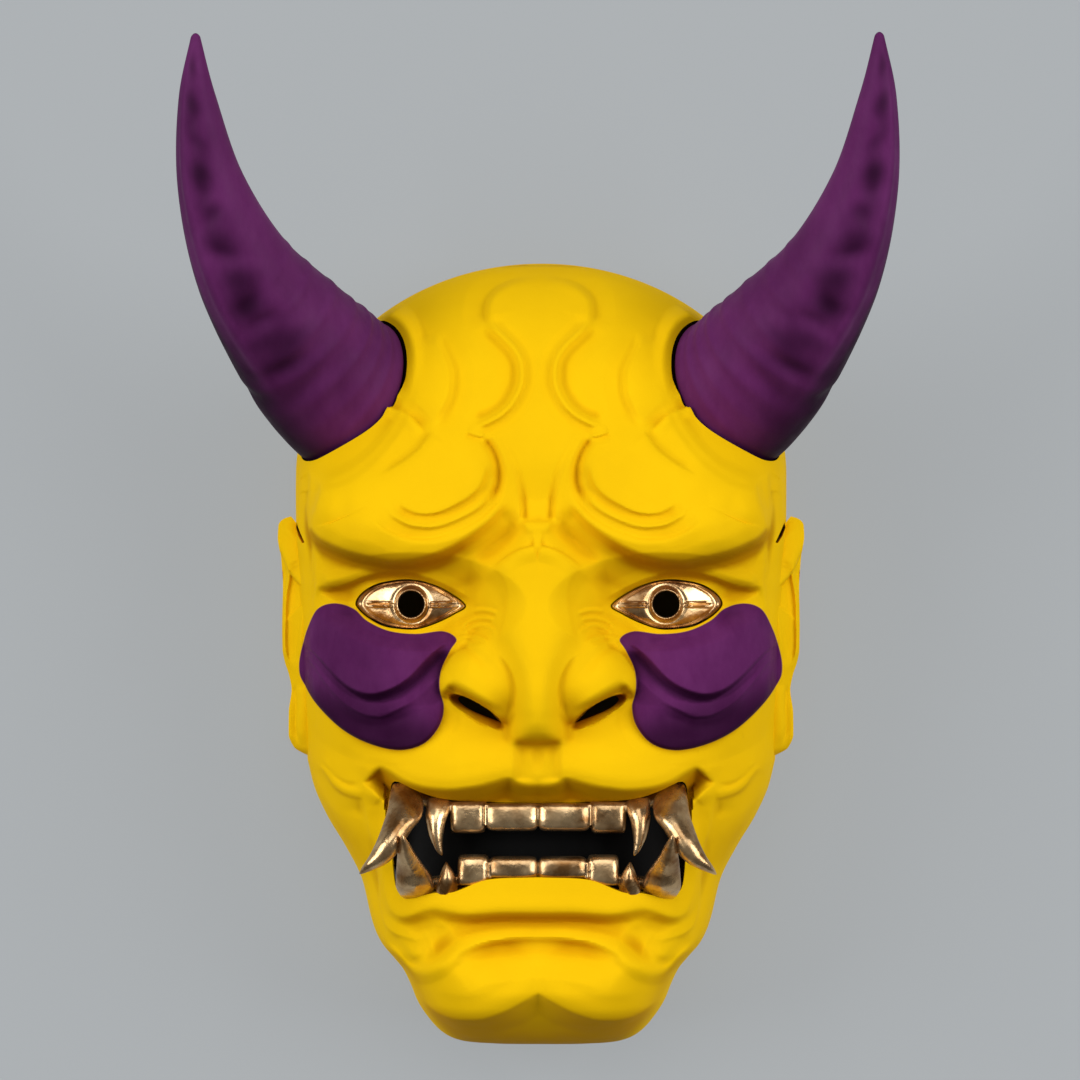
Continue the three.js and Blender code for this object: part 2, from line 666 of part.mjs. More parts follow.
// The panel that closes the mouth behind the teeth
function makeMouthBacking() {
  const edge = outlinePoints(MOUTH_OUTLINE, GAP, 1, false);
  const sections = [];
  const upperEdge = edge.slice(0, MOUTH_CORNER + 1);
  const lowerEdge = edge.slice(MOUTH_LOW_CORNER).reverse();
  for (let k = -MOUTH.panelSteps / 2; k <= MOUTH.panelSteps / 2; k++) {
    const u = (2 * MOUTH.panelHalf * k) / MOUTH.panelSteps;
    const front = MOUTH.panelZ - arch(u);
    const back = MOUTH.backZ + GAP - arch(u);
    const y1 = flow(Math.abs(u), upperEdge) - GAP;
    const y0 = flow(Math.abs(u), lowerEdge) + GAP;
    sections.push([[u, y1, front], [u, y1, back], [u, y0, back], [u, y0, front]]);
  }
  return solid(sweep(sections));
}

const UPPER = {
  down: -1,
  stripHalf: 41,
  gum: (u) => flow(u, [[0, -80.5], [17, -80.2], [29, -79.2], [37, -77.4], [43, -75.4]]),
  blocks: [
    { from: 0.1, to: 15.2, tip: -88.6 },
    { from: 15.8, to: 26.5, tip: -88.2 },
  ],
  fangs: [
    [[30.3, -79.2, 84.5, 3.4, 3.2], [30.6, -86, 87, 2.9, 2.9], [30.2, -95.3, 89, 0.5, 0.5]],
    [[39, -77.2, 80.5, 4.1, 3.4], [40.6, -81.5, 88, 5, 4.4], [44.5, -88.5, 94.5, 4.6, 4.2],
      [49, -95.5, 95.5, 3, 2.8], [53.6, -100.6, 92.5, 0.6, 0.6]],
  ],
};
const LOWER = {
  down: 1,
  stripHalf: 41,
  gum: (u) => flow(u, [[0, -100.6], [13, -101], [22, -103.8], [32, -106.2], [41, -107.6]]),
  blocks: [
    { from: 0.1, to: 14.3, tip: -95.6 },
    { from: 14.9, to: 24, tip: -95.8 },
  ],
  fangs: [
    [[27.4, -104.5, 85, 3, 3], [27.6, -100.5, 86, 2.4, 2.6], [27.8, -97, 86.5, 0.5, 0.6]],
    [[37, -106.6, 79.5, 5.2, 3.6], [37.6, -99, 86, 4.6, 3.8], [39, -93, 89.5, 2.6, 2.4],
      [40, -88, 91, 0.5, 0.5]],
  ],
};

const finish = (name) => new THREE.MeshStandardMaterial(COLOURS[name]);

function addPiece(group, name, made, material) {
  const mesh = new THREE.Mesh(geometryOf(made), material);
  mesh.name = name;
  group.add(mesh);
}

const group = new THREE.Group();
group.position.y = FACE_LEVEL_Y;
const paint = finish("paint");
const purple = finish("purple");
const gilt = finish("gilt");
addPiece(group, "face_shell", makeFaceShell(), paint);
for (const [side, hand] of [[-1, "left"], [1, "right"]]) {
  addPiece(group, "horn_" + hand, hornSolid(side), purple);
  addPiece(group, "eye_" + hand, makeEye(side), gilt);
}
addPiece(group, "upper_teeth", makeTeeth(UPPER), gilt);
addPiece(group, "lower_teeth", makeTeeth(LOWER), gilt);
addPiece(group, "mouth_backing", makeMouthBacking(), finish("black"));

export default group;
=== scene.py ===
"""A horned demon face mask, lying on its back rim. Shapes are worked out in millimetres: x to the viewer's
right, y up the face from the level between brow and nose, z out of the face. Places on the face are (u, v),
where u is the distance from the middle line and v is y."""

import math

import bpy
import numpy as np
from mathutils import Matrix, Vector


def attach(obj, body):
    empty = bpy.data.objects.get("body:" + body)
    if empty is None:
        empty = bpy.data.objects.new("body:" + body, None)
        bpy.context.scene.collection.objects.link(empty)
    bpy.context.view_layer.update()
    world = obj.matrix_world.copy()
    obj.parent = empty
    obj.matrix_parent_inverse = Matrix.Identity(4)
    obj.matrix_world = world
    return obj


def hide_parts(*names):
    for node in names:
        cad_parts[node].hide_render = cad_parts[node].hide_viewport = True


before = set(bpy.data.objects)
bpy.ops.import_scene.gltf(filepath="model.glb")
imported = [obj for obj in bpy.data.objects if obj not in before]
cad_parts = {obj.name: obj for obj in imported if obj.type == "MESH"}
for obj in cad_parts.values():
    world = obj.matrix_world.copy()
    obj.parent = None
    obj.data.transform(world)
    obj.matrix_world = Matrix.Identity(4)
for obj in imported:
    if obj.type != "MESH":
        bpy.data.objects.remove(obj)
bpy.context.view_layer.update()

MM = 0.001
TINY = 1e-6

# The head: where the frame has the face's level, and its widest ring, crown, temples, jaw and chin
FACE_LEVEL_Y = 3.45
WIDEST_Z, CROWN_Y, TEMPLE_Y, JAW_TOP_Y, CHIN_Y = 30.0, 86.0, 20.0, -69.0, -157.0
HALF_HEAD, SIDE_DRAW = 76.5, 3.5

# The shell
WALL, RIM_TUCK = 4.0, 0.05
MOUTH_BACK_Z, MOUTH_BOW = 76.0, 0.0045
EYE_CENTRE, EYE_SLOPE, EYE_FLOOR_Z = (38.5, -19.8), 0.32, 76.5
EYE_RIM_Z, EYE_DOME_Z, PUPIL_RADIUS = 79.2, 80.7, 3.95
GAP = 0.35

# The horns: the way their feet point, their middle line and radii, and the seat of the skin round them
HORN_AXIS = (0.703, 0.356, 0.616)
HORN_PATH = [(61, 46, 60), (73.5, 60, 73), (88, 80.5, 88), (97.3, 105, 98), (101, 130, 104),
             (101.4, 150, 106.5)]
HORN_RADII = [24, 23.75, 20.9, 15.4, 10.3, 5.8, 1.15]
HORN_FOOT, HORN_SINK, HORN_STRAIGHT = 24.0, 5.0, 6.0
HORN_SEAT_AT, SEAT_REACH, SEAT_FADE, SEAT_LIP_AT = (57.5, 44.2, 56.9), 33, 7, 27.5

# The mesh of the face
GRID_CENTRE_Y, GRID_CROWD, EVEN_REACH = -28.0, 0.28, 0.72
OUTER_GRID, INNER_STEP = (380, 600), 10
FACE_TRIANGLES = 160000


def smooth(t):
    """0 below 0, 1 above 1, and an S between"""
    t = np.clip(t, 0.0, 1.0)
    return t * t * (3 - 2 * t)


def bell(x, centre, width):
    """1 at the centre, dying away on both sides"""
    return np.exp(-((x - centre) / width) ** 2)


def round_end(distance, radius):
    """how wide a rounded end is at a distance from its tip, as a share of its full width"""
    return math.sqrt(max(0.0, 1 - max(0.0, 1 - distance / radius) ** 2))


def curve(points, step=0.8, closed=False, count=None):
    """a smooth line through points, in steps of about the given length or count steps between each two"""
    p = np.array(points, float)
    if closed:
        p = np.vstack([p[-1:], p, p[:2]])
    else:
        p = np.vstack([2 * p[0] - p[1], p, 2 * p[-1] - p[-2]])
    out = []
    for a, b, c, d in zip(p, p[1:], p[2:], p[3:]):
        steps = count or max(2, int(np.hypot(*(c - b)) / step))
        t = np.linspace(0, 1, steps, endpoint=False)[:, None]
        bend, twist = 2 * a - 5 * b + 4 * c - d, 3 * b - a - 3 * c + d
        out.append(0.5 * (2 * b + (c - a) * t + bend * t ** 2 + twist * t ** 3))
    return np.vstack(out + [p[-2:-1]])


def flow(x, knots):
    """smooth curve through (x, y) knots given in rising x, level beyond them"""
    kx, ky = np.array(knots, float).T
    width = np.diff(kx)
    slope = np.diff(ky) / width
    m = np.zeros(len(kx))
    m[0], m[-1] = slope[0], slope[-1]
    for i, (a, b) in enumerate(zip(slope, slope[1:]), 1):
        if a * b > 0:
            m[i] = 2 * a * b / (a + b)
    x = np.clip(x, kx[0], kx[-1])
    i = np.clip(np.searchsorted(kx, x, side="right") - 1, 0, len(kx) - 2)
    h = width[i]
    t = (x - kx[i]) / h
    return (ky[i] * (1 + 2 * t) * (1 - t) ** 2 + m[i] * h * t * (1 - t) ** 2
            + ky[i + 1] * t * t * (3 - 2 * t) - m[i + 1] * h * t * t * (1 - t))


def fade(t, first, last):
    """fades in over the first share of a length and out over the last"""
    r = np.ones_like(t)
    if first > 0:
        r = r * smooth(t / first)
    if last > 0:
        r = r * smooth((1 - t) / last)
    return r


def greater(a, b, width):
    """the greater of two heights, rounded where they meet"""
    k = np.clip(0.5 + 0.5 * (a - b) / width, 0, 1)
    return b + (a - b) * k + width * k * (1 - k)


def blob(u, v, cu, cv, ru, rv, turn=0.0, power=2.0):
    """1 at (cu, cv), falling to 0 on an ellipse of half-axes ru and rv turned by some degrees"""
    a = np.radians(turn)
    du, dv = u - cu, v - cv
    p = (du * np.cos(a) + dv * np.sin(a)) / ru
    q = (-du * np.sin(a) + dv * np.cos(a)) / rv
    return np.clip(1 - p * p - q * q, 0, 1) ** power


class Near:
    """signed distance d from a line, positive on its left, and the share t of its length, near the line"""

    def __init__(self, points, u, v, reach, closed=False):
        line = curve(points, closed=closed)
        low, high = line.min(0) - reach, line.max(0) + reach
        self.inside = (u > low[0]) & (u < high[0]) & (v > low[1]) & (v < high[1])
        uu, vv = u[self.inside], v[self.inside]
        best = np.full(uu.shape, 1e18)
        sign = np.ones(uu.shape)
        at = np.zeros(uu.shape)
        steps = np.diff(line, axis=0)
        lengths = np.hypot(steps[:, 0], steps[:, 1])
        run = np.concatenate([[0], np.cumsum(lengths)])
        for (ax, ay), (dx, dy), length, start in zip(line[:-1], steps, lengths, run):
            if length == 0:
                continue
            px, py = uu - ax, vv - ay
            t = np.clip((px * dx + py * dy) / (length * length), 0, 1)
            qx, qy = px - t * dx, py - t * dy
            d2 = qx * qx + qy * qy
            m = d2 < best
            best[m] = d2[m]
            sign[m] = np.where(dx * py - dy * px >= 0, 1.0, -1.0)[m]
            at[m] = (start + t * length)[m]
        self.d = np.sqrt(best) * sign
        self.t = at / run[-1]
        self.shape = u.shape

    def put(self, values):
        """values at the places within reach, 0 at the others"""
        out = np.zeros(self.shape)
        out[self.inside] = values
        return out


class Ledger:
    """adds up the carving at places (u, v)"""

    def __init__(self, u, v):
        self.u, self.v = u, v
        self.z = np.zeros(u.shape)

    def line(self, points, section, ends=(0.15, 0.15), closed=False, along=None, wide=None):
        """carves a line. section gives height against distance from it, positive to the left of its way;
        along scales the height and wide the distance, against the share of the line's length"""
        grow = max(w for _, w in wide) if wide else 1.0
        reach = max(abs(section[0][0]), abs(section[-1][0])) * grow
        n = Near(points, self.u, self.v, reach, closed)
        z = flow(n.d / (flow(n.t, wide) if wide else 1.0), section)
        if along:
            z = z * flow(n.t, along)
        if not closed:
            z = z * fade(n.t, *ends)
        self.z += n.put(z)

    def blob(self, height, *place, **power):
        self.z += height * blob(self.u, self.v, *place, **power)


# The smooth head, against level: half-width of the jaw, height on the middle line, squareness across
JAW = [(-157, 0), (-156.6, 18), (-155.6, 26), (-153, 31.2), (-148, 35.7), (-143, 38.8), (-138, 40.8),
       (-133, 43.3), (-129.5, 46.2), (-125.5, 49.7), (-122, 51.6), (-118, 53), (-106, 56), (-96, 61),
       (-86, 67), (-77, 71), (-69, 73)]
CENTRE = [(-157, 30), (-156.8, 47), (-156, 56), (-154, 66), (-151, 73.5), (-148, 78.5), (-145, 82.5),
          (-141, 85.7), (-136, 88), (-126, 89), (-110, 88.5), (-90, 91), (-60, 91), (-30, 90), (-8, 91),
          (6, 94), (20, 94), (36, 89.5), (52, 81), (64, 71), (73, 60.5), (80, 49.5), (84, 39.5), (86, 30)]
SQUARE = [(-157, 4.6), (-130, 4.6), (-112, 3.6), (-100, 2.9), (-60, 3), (-30, 3.6), (-10, 4.6), (0, 6.4),
          (13, 6.8), (24, 4.8), (36, 3), (60, 2.5), (86, 2.3)]


def half_width(v):
    """from the middle line to the head's outline: a dome, nearly straight sides and the jaw"""
    dome = HALF_HEAD * np.sqrt(np.clip(1 - ((v - TEMPLE_Y) / (CROWN_Y - TEMPLE_Y)) ** 2, 0, 1))
    side = HALF_HEAD - SIDE_DRAW * np.clip((TEMPLE_Y - v) / (TEMPLE_Y - JAW_TOP_Y), 0, 1) ** 2
    return np.where(v >= TEMPLE_Y, dome, np.where(v >= JAW_TOP_Y, side, flow(v, JAW)))


def base(u, v):
    """height of the smooth head"""
    across = np.clip(u / np.maximum(half_width(v), TINY), 0, 1)
    rise = np.sqrt(np.clip(1 - across ** flow(v, SQUARE), 0, 1))
    return WIDEST_Z + (flow(v, CENTRE) - WIDEST_Z) * rise


# Lines on the face are places (u, v). A section is pairs of distance from a line and height, and distances
# are positive to the left of the way the line runs.

# Forehead
PILLOW = [(0, 79.8), (5.3, 79.2), (8.9, 78.2), (12.2, 76.4), (14.6, 73.7), (15.4, 70.7), (15.2, 67.7),
          (14.3, 65)]
BAND = [(15.2, 67.7), (13.8, 64.4), (11.3, 61.7), (8.6, 59), (6.5, 56.3), (5.2, 53.3), (4.8, 50),
        (5.1, 46.4), (6.5, 42.8), (8.6, 39.5), (11.6, 36.8), (15.5, 34.7), (19.7, 33.2)]
BAND_CORNER = [(21.5, 32.3), (18.6, 31), (16, 30.6)]
LOBE_VALLEY = [(16.6, 30.4), (14.3, 27.8), (12.8, 25.1), (11.9, 22.1), (11.6, 19.1), (11.9, 16.1),
               (13.1, 13.4), (15.2, 10.7), (17.3, 8.6)]
GLABELLA = [(12.2, 31.7), (9.8, 27.2), (7.4, 23), (5.9, 19.1), (4.7, 14.6), (4.1, 10.1), (3.9, 5.3)]
HORN_FOLD = [(29.9, 63.8), (28.4, 59.3), (26.3, 55.1), (24.8, 51.2), (24.5, 47), (25.1, 42.5), (26.9, 38.3),
             (29, 34.7), (31.4, 31.7)]
HORN_FOLD_LOW = [(31.4, 32.3), (32.9, 30.5), (35.3, 27.2), (38.3, 24.5), (41.3, 22.4), (44.3, 20.6),
                 (47.9, 18.5)]
SKIRT_FOLD = [(44.2, 39.6), (39.8, 37.9), (36.8, 35.4), (33.4, 31.6)]
LOBE_EDGE = [(15.2, 23), (15.8, 19.1), (17.3, 15.5), (20.3, 12.5), (24.2, 10.1), (28.4, 8.1), (32.9, 7.2),
             (36.8, 7.7), (39.8, 9.2), (42.2, 11.5)]
LOBE_EDGE_LOW = [(13.6, 14.3), (15.2, 11.3), (18.8, 8.3), (23.3, 5.9), (27.8, 4.1), (31.7, 3.3),
                 (35.3, 3.5), (38.3, 4.1), (41.3, 5.6), (43.4, 7.1), (45.2, 10)]
LOBE_FOOT = [(9.6, 16.5), (11.3, 13.1), (13.7, 10.1), (17.3, 6.8), (21.8, 4.1), (26.3, 2.3), (30.8, 0.9),
             (35.3, 0.8), (39.8, 1.4), (43.7, 2.9), (46.4, 4.7), (49, 7.5)]

# Brow and eye
BROW = [(8.9, 11.3), (11.3, 8.6), (14.3, 5.3), (18.8, 1.4), (23.3, -1.7), (27.8, -4.1), (32.3, -5.9),
        (36.8, -7.1), (41.3, -7.5), (44.3, -7.4), (48.8, -6.6), (53.3, -5.6), (57.8, -4.4), (62.3, -2.6),
        (65.9, -0.8), (68, 1.4), (68.9, 3.4), (68.6, 5.8), (67.1, 10.1), (65.9, 14.6), (67, 17.6),
        (69, 20.5)]
ROLL = [(66.5, -13.6), (60, -11.8), (54, -9.9), (47, -8.9), (40, -9.2)]
LID_FOLD = [(18.2, -19.4), (21.8, -17.3), (26.3, -14.9), (30.8, -12.8), (35.3, -11.3), (39.8, -10.4),
            (44.3, -10.2), (48.8, -10.7), (52.7, -11.6), (56.3, -13.1), (60.8, -14.6), (64.7, -14.9),
            (67.5, -13.8)]
LID_FOOT = [(68, -15.5), (64, -17.8), (61, -18.6), (57.5, -18.8), (54.5, -18.4)]
EYE = [(21.8, -20.1), (27.8, -15.6), (33.6, -13.2), (39.4, -12.3), (45.2, -12.8), (49.8, -14),
       (53.8, -16.5), (55.7, -19.4), (54.7, -21.6), (51.6, -24.2), (47.2, -26.4), (42.4, -27.3),
       (36.7, -27.4), (31, -25.7), (25.3, -22.9)]
SIDE_PLANE = [(71.5, 22), (69.5, 18.5), (70.3, 8), (69.2, -1), (68.6, -9), (68.4, -16), (70, -22),
              (72, -27)]
ROOT_VALLEY = [(4.2, 4.6), (5.5, 2.4), (8.2, -0.2), (12, -3.4), (16, -6), (20, -7.6)]
ROOT_TOP = [(0, 5.1), (3.6, 5.1), (5.4, 4.2)]

# Nose
FROWN = [(0.6, -2), (3.8, -2.7), (6.8, -3.8), (9.2, -5.3), (11.3, -6.8), (12.8, -8.3), (13.6, -9.8)]
BRIDGE_EDGE = [(13.2, -8.8), (10.6, -11.6), (9.4, -15), (9.1, -18.5), (10.1, -23.9), (11.3, -29),
               (13.4, -32.9)]
WRINKLES = [[(19.7, -22), (17.3, -21.5), (14.3, -21.8), (11.6, -22.6)],
            [(22.7, -26.9), (21.5, -25.4), (18.8, -24.3), (15.8, -23.9), (12.4, -24.4)],
            [(22.4, -28.7), (20.3, -26.9), (17.3, -26), (14.6, -26.6), (13.1, -27.8), (13, -29.6)],
            [(24.8, -30.5), (22.4, -29.6), (19.7, -29.1), (16.7, -29.6), (14.3, -31.1)],
            [(24.6, -32.2), (22.7, -30.9), (20.8, -30.8), (19.8, -32)]]
WING_EDGE = [(8.9, -54.5), (8.1, -52.4), (6.8, -49.8), (6.3, -45.8), (6.8, -42.4), (8.1, -39.1),
             (10.4, -35.8), (13.8, -33.5)]
NOSE_RIDGE = [(-63, 0), (-61.8, 1.5), (-61, 4.5), (-59.6, 9.5), (-57.4, 14), (-54, 17.8), (-50, 20),
              (-45, 20.6), (-38, 19.6), (-30, 17.6), (-22, 15.3), (-14, 13.2), (-8, 11.6), (-4, 10.4),
              (-2, 9), (1, 7), (6, 3.5), (12, 0)]
NOSE_HALF = [(-63, 8.5), (-58, 10), (-50, 12.5), (-44, 13.5), (-38, 15.5), (-33, 18), (-27, 21), (-22, 22),
             (-17, 22), (-12, 21), (-8, 20), (-3, 15), (2, 9), (10, 7)]
NOSE_SQUARE = [(-60, 3), (-52, 2.2), (-42, 2.2), (-30, 2.8), (-5, 3)]
NOSTRIL_FLOOR = [(6.8, -9), (9.3, -4), (12.3, 3.4)]
WING_AT, WING_WAY = (17.6, -41), (0.86, 0.51)
WING_HIGH, WING_LONG, WING_WIDE = 15.5, 12.4, 10.6

# Cheek
CHEEK = [(26.3, -33.5), (29, -39.5), (29.3, -45.5), (28.2, -50.6), (29.6, -56.3), (34.1, -61.4),
         (41.3, -63.5), (50.3, -62.1), (59.3, -58.1), (67.7, -51.2), (73.6, -44.2), (74.7, -39.5),
         (73.7, -33.9), (71.3, -27.5), (67.7, -21.5), (62.3, -19.7), (56.3, -21.2), (51.8, -24.8),
         (44.9, -27.8), (36.8, -28.7), (28.7, -27.9), (24.5, -30.2)]
CHEEK_ROLL = [(24.4, -30.5), (29.3, -32.6), (33.8, -36.8), (38.3, -41.6), (43.4, -44.9), (49.7, -46.7),
              (55.7, -45.5), (61.4, -41.6), (66.8, -36.5), (71.6, -32.9), (75, -32.6)]
CHEEK_GROOVE = [(36, -45.5), (39.8, -47.9), (45.8, -49.7), (49.7, -49.8), (53.3, -49.1), (59.3, -45.5),
                (65.3, -39.8), (70.4, -35.3), (75, -34.4)]
CHEEK_STEP = [(36.5, -48.5), (39.8, -50.3), (45.8, -53.3), (49.1, -53.6), (52.7, -53), (59.3, -49.4),
              (65.3, -43.4), (69.8, -38), (75, -35.6)]
PAD_EDGE = CHEEK[13:1:-1]

# Mouth and chin
LIP_BREAK = [(53.6, -73.4), (51.5, -71.3), (49.7, -69.5), (47.9, -68.6), (46, -68.9), (42.8, -70.7),
             (39.8, -72.5), (35.3, -74), (30.8, -74.7), (26.3, -74.9), (21.8, -74.4), (17.3, -73.7),
             (12.8, -72.5), (9.8, -71.7), (8.3, -71.6), (7.1, -72.2), (5.3, -73.2), (2.9, -73.7),
             (0, -73.6)]
POCKET = [(53.6, -73.2), (52.6, -74.7), (50.6, -75.8), (48.6, -76.8), (46.9, -78.8)]
PHILTRUM = [(6.6, -59.5), (6.5, -66), (7, -72.6)]
MOUTH = [(0, -79.7), (17, -79.4), (29, -78.2), (36, -76), (40.5, -73.9), (43.4, -73.2), (45, -76.5),
         (44.8, -87), (44.4, -98), (43.6, -105), (41.9, -107.6), (40.1, -109), (35.9, -107.9), (31, -106.7),
         (26.3, -106.5), (22.7, -105.3), (17.3, -103), (11.3, -102), (0, -101.7)]
FOLD_TOP = [(67.5, -68.5), (64.7, -70.7), (62.3, -73), (59.3, -74.6), (56.3, -74.9), (53.5, -74.4)]
FOLD_LOW = [(67.5, -69.5), (64.9, -72.4), (62.3, -75.8), (59.3, -77.6), (56.3, -78.3), (53, -78.6)]
SIDE_OUT = [(53, -78.5), (52.4, -82), (51.8, -86), (50.9, -90.5), (49.8, -94), (49.5, -99.5), (49, -104),
            (48.8, -108.5), (48.2, -114.5), (47, -118), (44.3, -119.9), (41.3, -120.8), (36.5, -121.4),
            (31, -119.6)]
LOW_LIP = [(46.7, -77), (46.2, -83), (46.5, -90), (47.9, -99.5), (47.4, -105.5), (46.4, -110), (44.9, -113),
           (43.1, -114.2), (41.3, -114.6), (38.9, -114.2), (36.5, -112.9), (33.8, -112), (30.8, -111.7),
           (26.3, -112.4), (21.8, -113), (17.3, -112.8), (11.3, -112.4), (0, -112.4)]
CHIN_TOP = [(47, -121.5), (45.2, -122.9), (43.7, -124), (41.3, -126), (39.5, -127.9), (37.7, -128.8),
            (35.3, -128.3), (32.9, -127), (30.5, -125), (27.8, -122.3), (24.8, -119.9), (20.3, -118),
            (14.3, -116.9), (8.3, -116.4), (0, -116.4)]
CHIN_CREASE = [(29.6, -128), (27, -126), (24.8, -124.8), (20.3, -122.8), (15.8, -121.4), (11.3, -120.6),
               (5.3, -119.9), (0, -119.8)]
CHIN_BREAK = [(0, -135.2), (0.6, -135.9), (1.4, -136.7), (2.9, -138.2), (5.3, -139.7), (8.9, -141.8),
              (12.8, -143.6), (17.3, -145.1), (21.8, -145.5), (26.3, -145.4), (30.8, -144.2),
              (33.8, -142.4), (37, -139.5)]
APEX_ROUND = 1.6


def forehead(f):
    """the rounded crown, the band below it and the folds between the brows and beside the horns"""
    f.blob(2, 26, 20, 19, 17, 20)
    f.line(PILLOW, [(-9, 0), (-3.5, 0.68), (-0.6, 1.35), (0.5, 0.6), (2, -1.2), (4.2, -0.9), (8, 0)],
           (0, 0.15), along=[(0, 0.1), (0.2, 0.5), (0.5, 1), (1, 1)])
    f.line(BAND, [(-5, 0), (-2.3, -0.52), (-1.2, -0.22), (-0.4, 0.98), (0.4, 1.05), (1.5, -0.3), (2.8, -1.42),
                  (4.4, -0.9), (8, 0)], (0.12, 0.1))
    f.line(BAND_CORNER, [(-3, 0), (-0.8, 0.45), (0, 0.52), (0.8, -0.52), (3, 0)], (0.2, 0.1))
    f.line(LOBE_VALLEY, [(-6, 0), (-2.6, 0.2), (-1, -0.78), (0, -1.95), (0.8, -1.3), (2.4, 0.2), (5, 0.59),
                         (10, 0)], (0.1, 0.35))
    f.line(GLABELLA, [(-4, 0), (-1.4, -0.15), (-0.3, -0.8), (0.6, -0.4), (1.6, 0.3), (3.8, 0)], (0.1, 0.05),
           along=[(0, 0.3), (0.5, 0.6), (0.8, 1.3), (1, 1.9)])
    f.line(HORN_FOLD, [(-5, 0), (-1.5, -0.59), (0, -0.85), (1.4, 0.34), (2.8, 1.53), (4.5, 1.53), (14, 0)],
           (0.12, 0.25), along=[(0, 0.5), (0.3, 0.9), (0.7, 1), (1, 0.8)])
    f.line(HORN_FOLD_LOW, [(-6, 0), (-1.6, 0.68), (-0.4, 0.68), (0.7, -0.77), (2.2, -0.68), (7, 0)],
           (0.1, 0.3))
    f.line(SKIRT_FOLD, [(-4, 0), (-1.6, -0.85), (-0.4, -1.02), (0.5, 0.59), (1.3, 0.85), (4, 0)], (0, 0.3))
    f.line(LOBE_EDGE, [(-6, 0), (-3.4, -0.84), (-1.8, -1.82), (-0.6, -1.12), (0.3, 0.63), (1, 0.7), (4, 0.42),
                       (9, 0)], (0.12, 0.12), along=[(0, 0.35), (0.3, 0.75), (0.7, 0.8), (1, 0.6)])
    f.line(LOBE_EDGE_LOW, [(-5, 0), (-2.4, -0.84), (-0.9, -0.56), (0.2, 0.7), (1, 0.7), (3.5, 0)],
           (0.12, 0.15))
    f.line(LOBE_FOOT, [(-5, 0), (-1.6, 0.3), (-0.3, -0.52), (1, -0.45), (3, 0)])


def brow(f):
    """the brow roll, the hollow under it, the eyelids and the root of the nose"""
    f.blob(7.5, 38, 1, 42, 27, 8)
    f.blob(3.5, 56, 6, 20, 16)
    f.blob(2.5, 66, 8, 9, 11)
    f.blob(-10.5, 36, -19, 33, 15, 2, power=1.3)
    f.blob(-1, 10.5, -3, 9, 9)
    f.blob(2, 18.5, -20, 9, 8)
    f.blob(-3, 58, -19, 12, 8)
    f.blob(2.2, 19.5, -29, 8, 10)
    f.line(BROW, [(-13, 0), (-9, -1.25), (-5.6, -3.6), (-3.3, -5.2), (-2.3, -5), (-0.25, 0.1), (0.15, 2.4),
                  (1.3, 3.9), (4, 3.4), (8, 1.9), (15, 0)], (0.06, 0.08),
           along=[(0, 0.3), (0.15, 0.5), (0.35, 0.95), (0.5, 1.15), (0.72, 1.3), (0.82, 0.9), (1, 0.4)])
    f.line(ROLL, [(-3.4, 0), (-1.7, 0.9), (0, 1.4), (1.7, 0.9), (3.4, 0)], (0.1, 0.3),
           along=[(0, 1.2), (0.5, 1), (1, 0.5)])
    f.line(LID_FOLD, [(-7, 0), (-3.4, -1.38), (-1.6, -1.95), (-0.5, -0.92), (0.4, 0.57), (1.4, 0.57),
                      (3.5, 0)], (0.1, 0.05),
           along=[(0, 0.4), (0.25, 0.7), (0.5, 0.8), (0.75, 0.95), (1, 0.6)])
    f.line(LID_FOOT, [(-4, 0), (-1.4, -0.6), (-0.4, -0.2), (0.6, 0.5), (2, 0.4), (4, 0)], (0.2, 0.2))
    f.line(EYE, [(-3, 0), (-1, 0.6), (0.4, 0.9), (1.2, 0.7), (2.6, 0)], closed=True,
           along=[(0, 0.4), (0.45, 0.3), (0.55, 1), (0.95, 1), (1, 0.4)])
    f.line(ROOT_VALLEY, [(-4.5, 0), (-1.5, -1.2), (0, -1.7), (1.5, -1.3), (4.5, 0)], (0.15, 0.3),
           along=[(0, 0.5), (0.3, 0.75), (1, 0.5)])
    f.line(ROOT_TOP, [(-4, 0), (-1.6, 0.8), (-0.5, 0.7), (0.4, -0.6), (1.5, -0.4), (4, 0)], (0, 0.3))
    f.line(SIDE_PLANE, [(-3, 0), (-0.5, 0.7), (0.1, 0.1), (1, -2), (2.2, -2.4), (6, 0)], (0.1, 0.2))


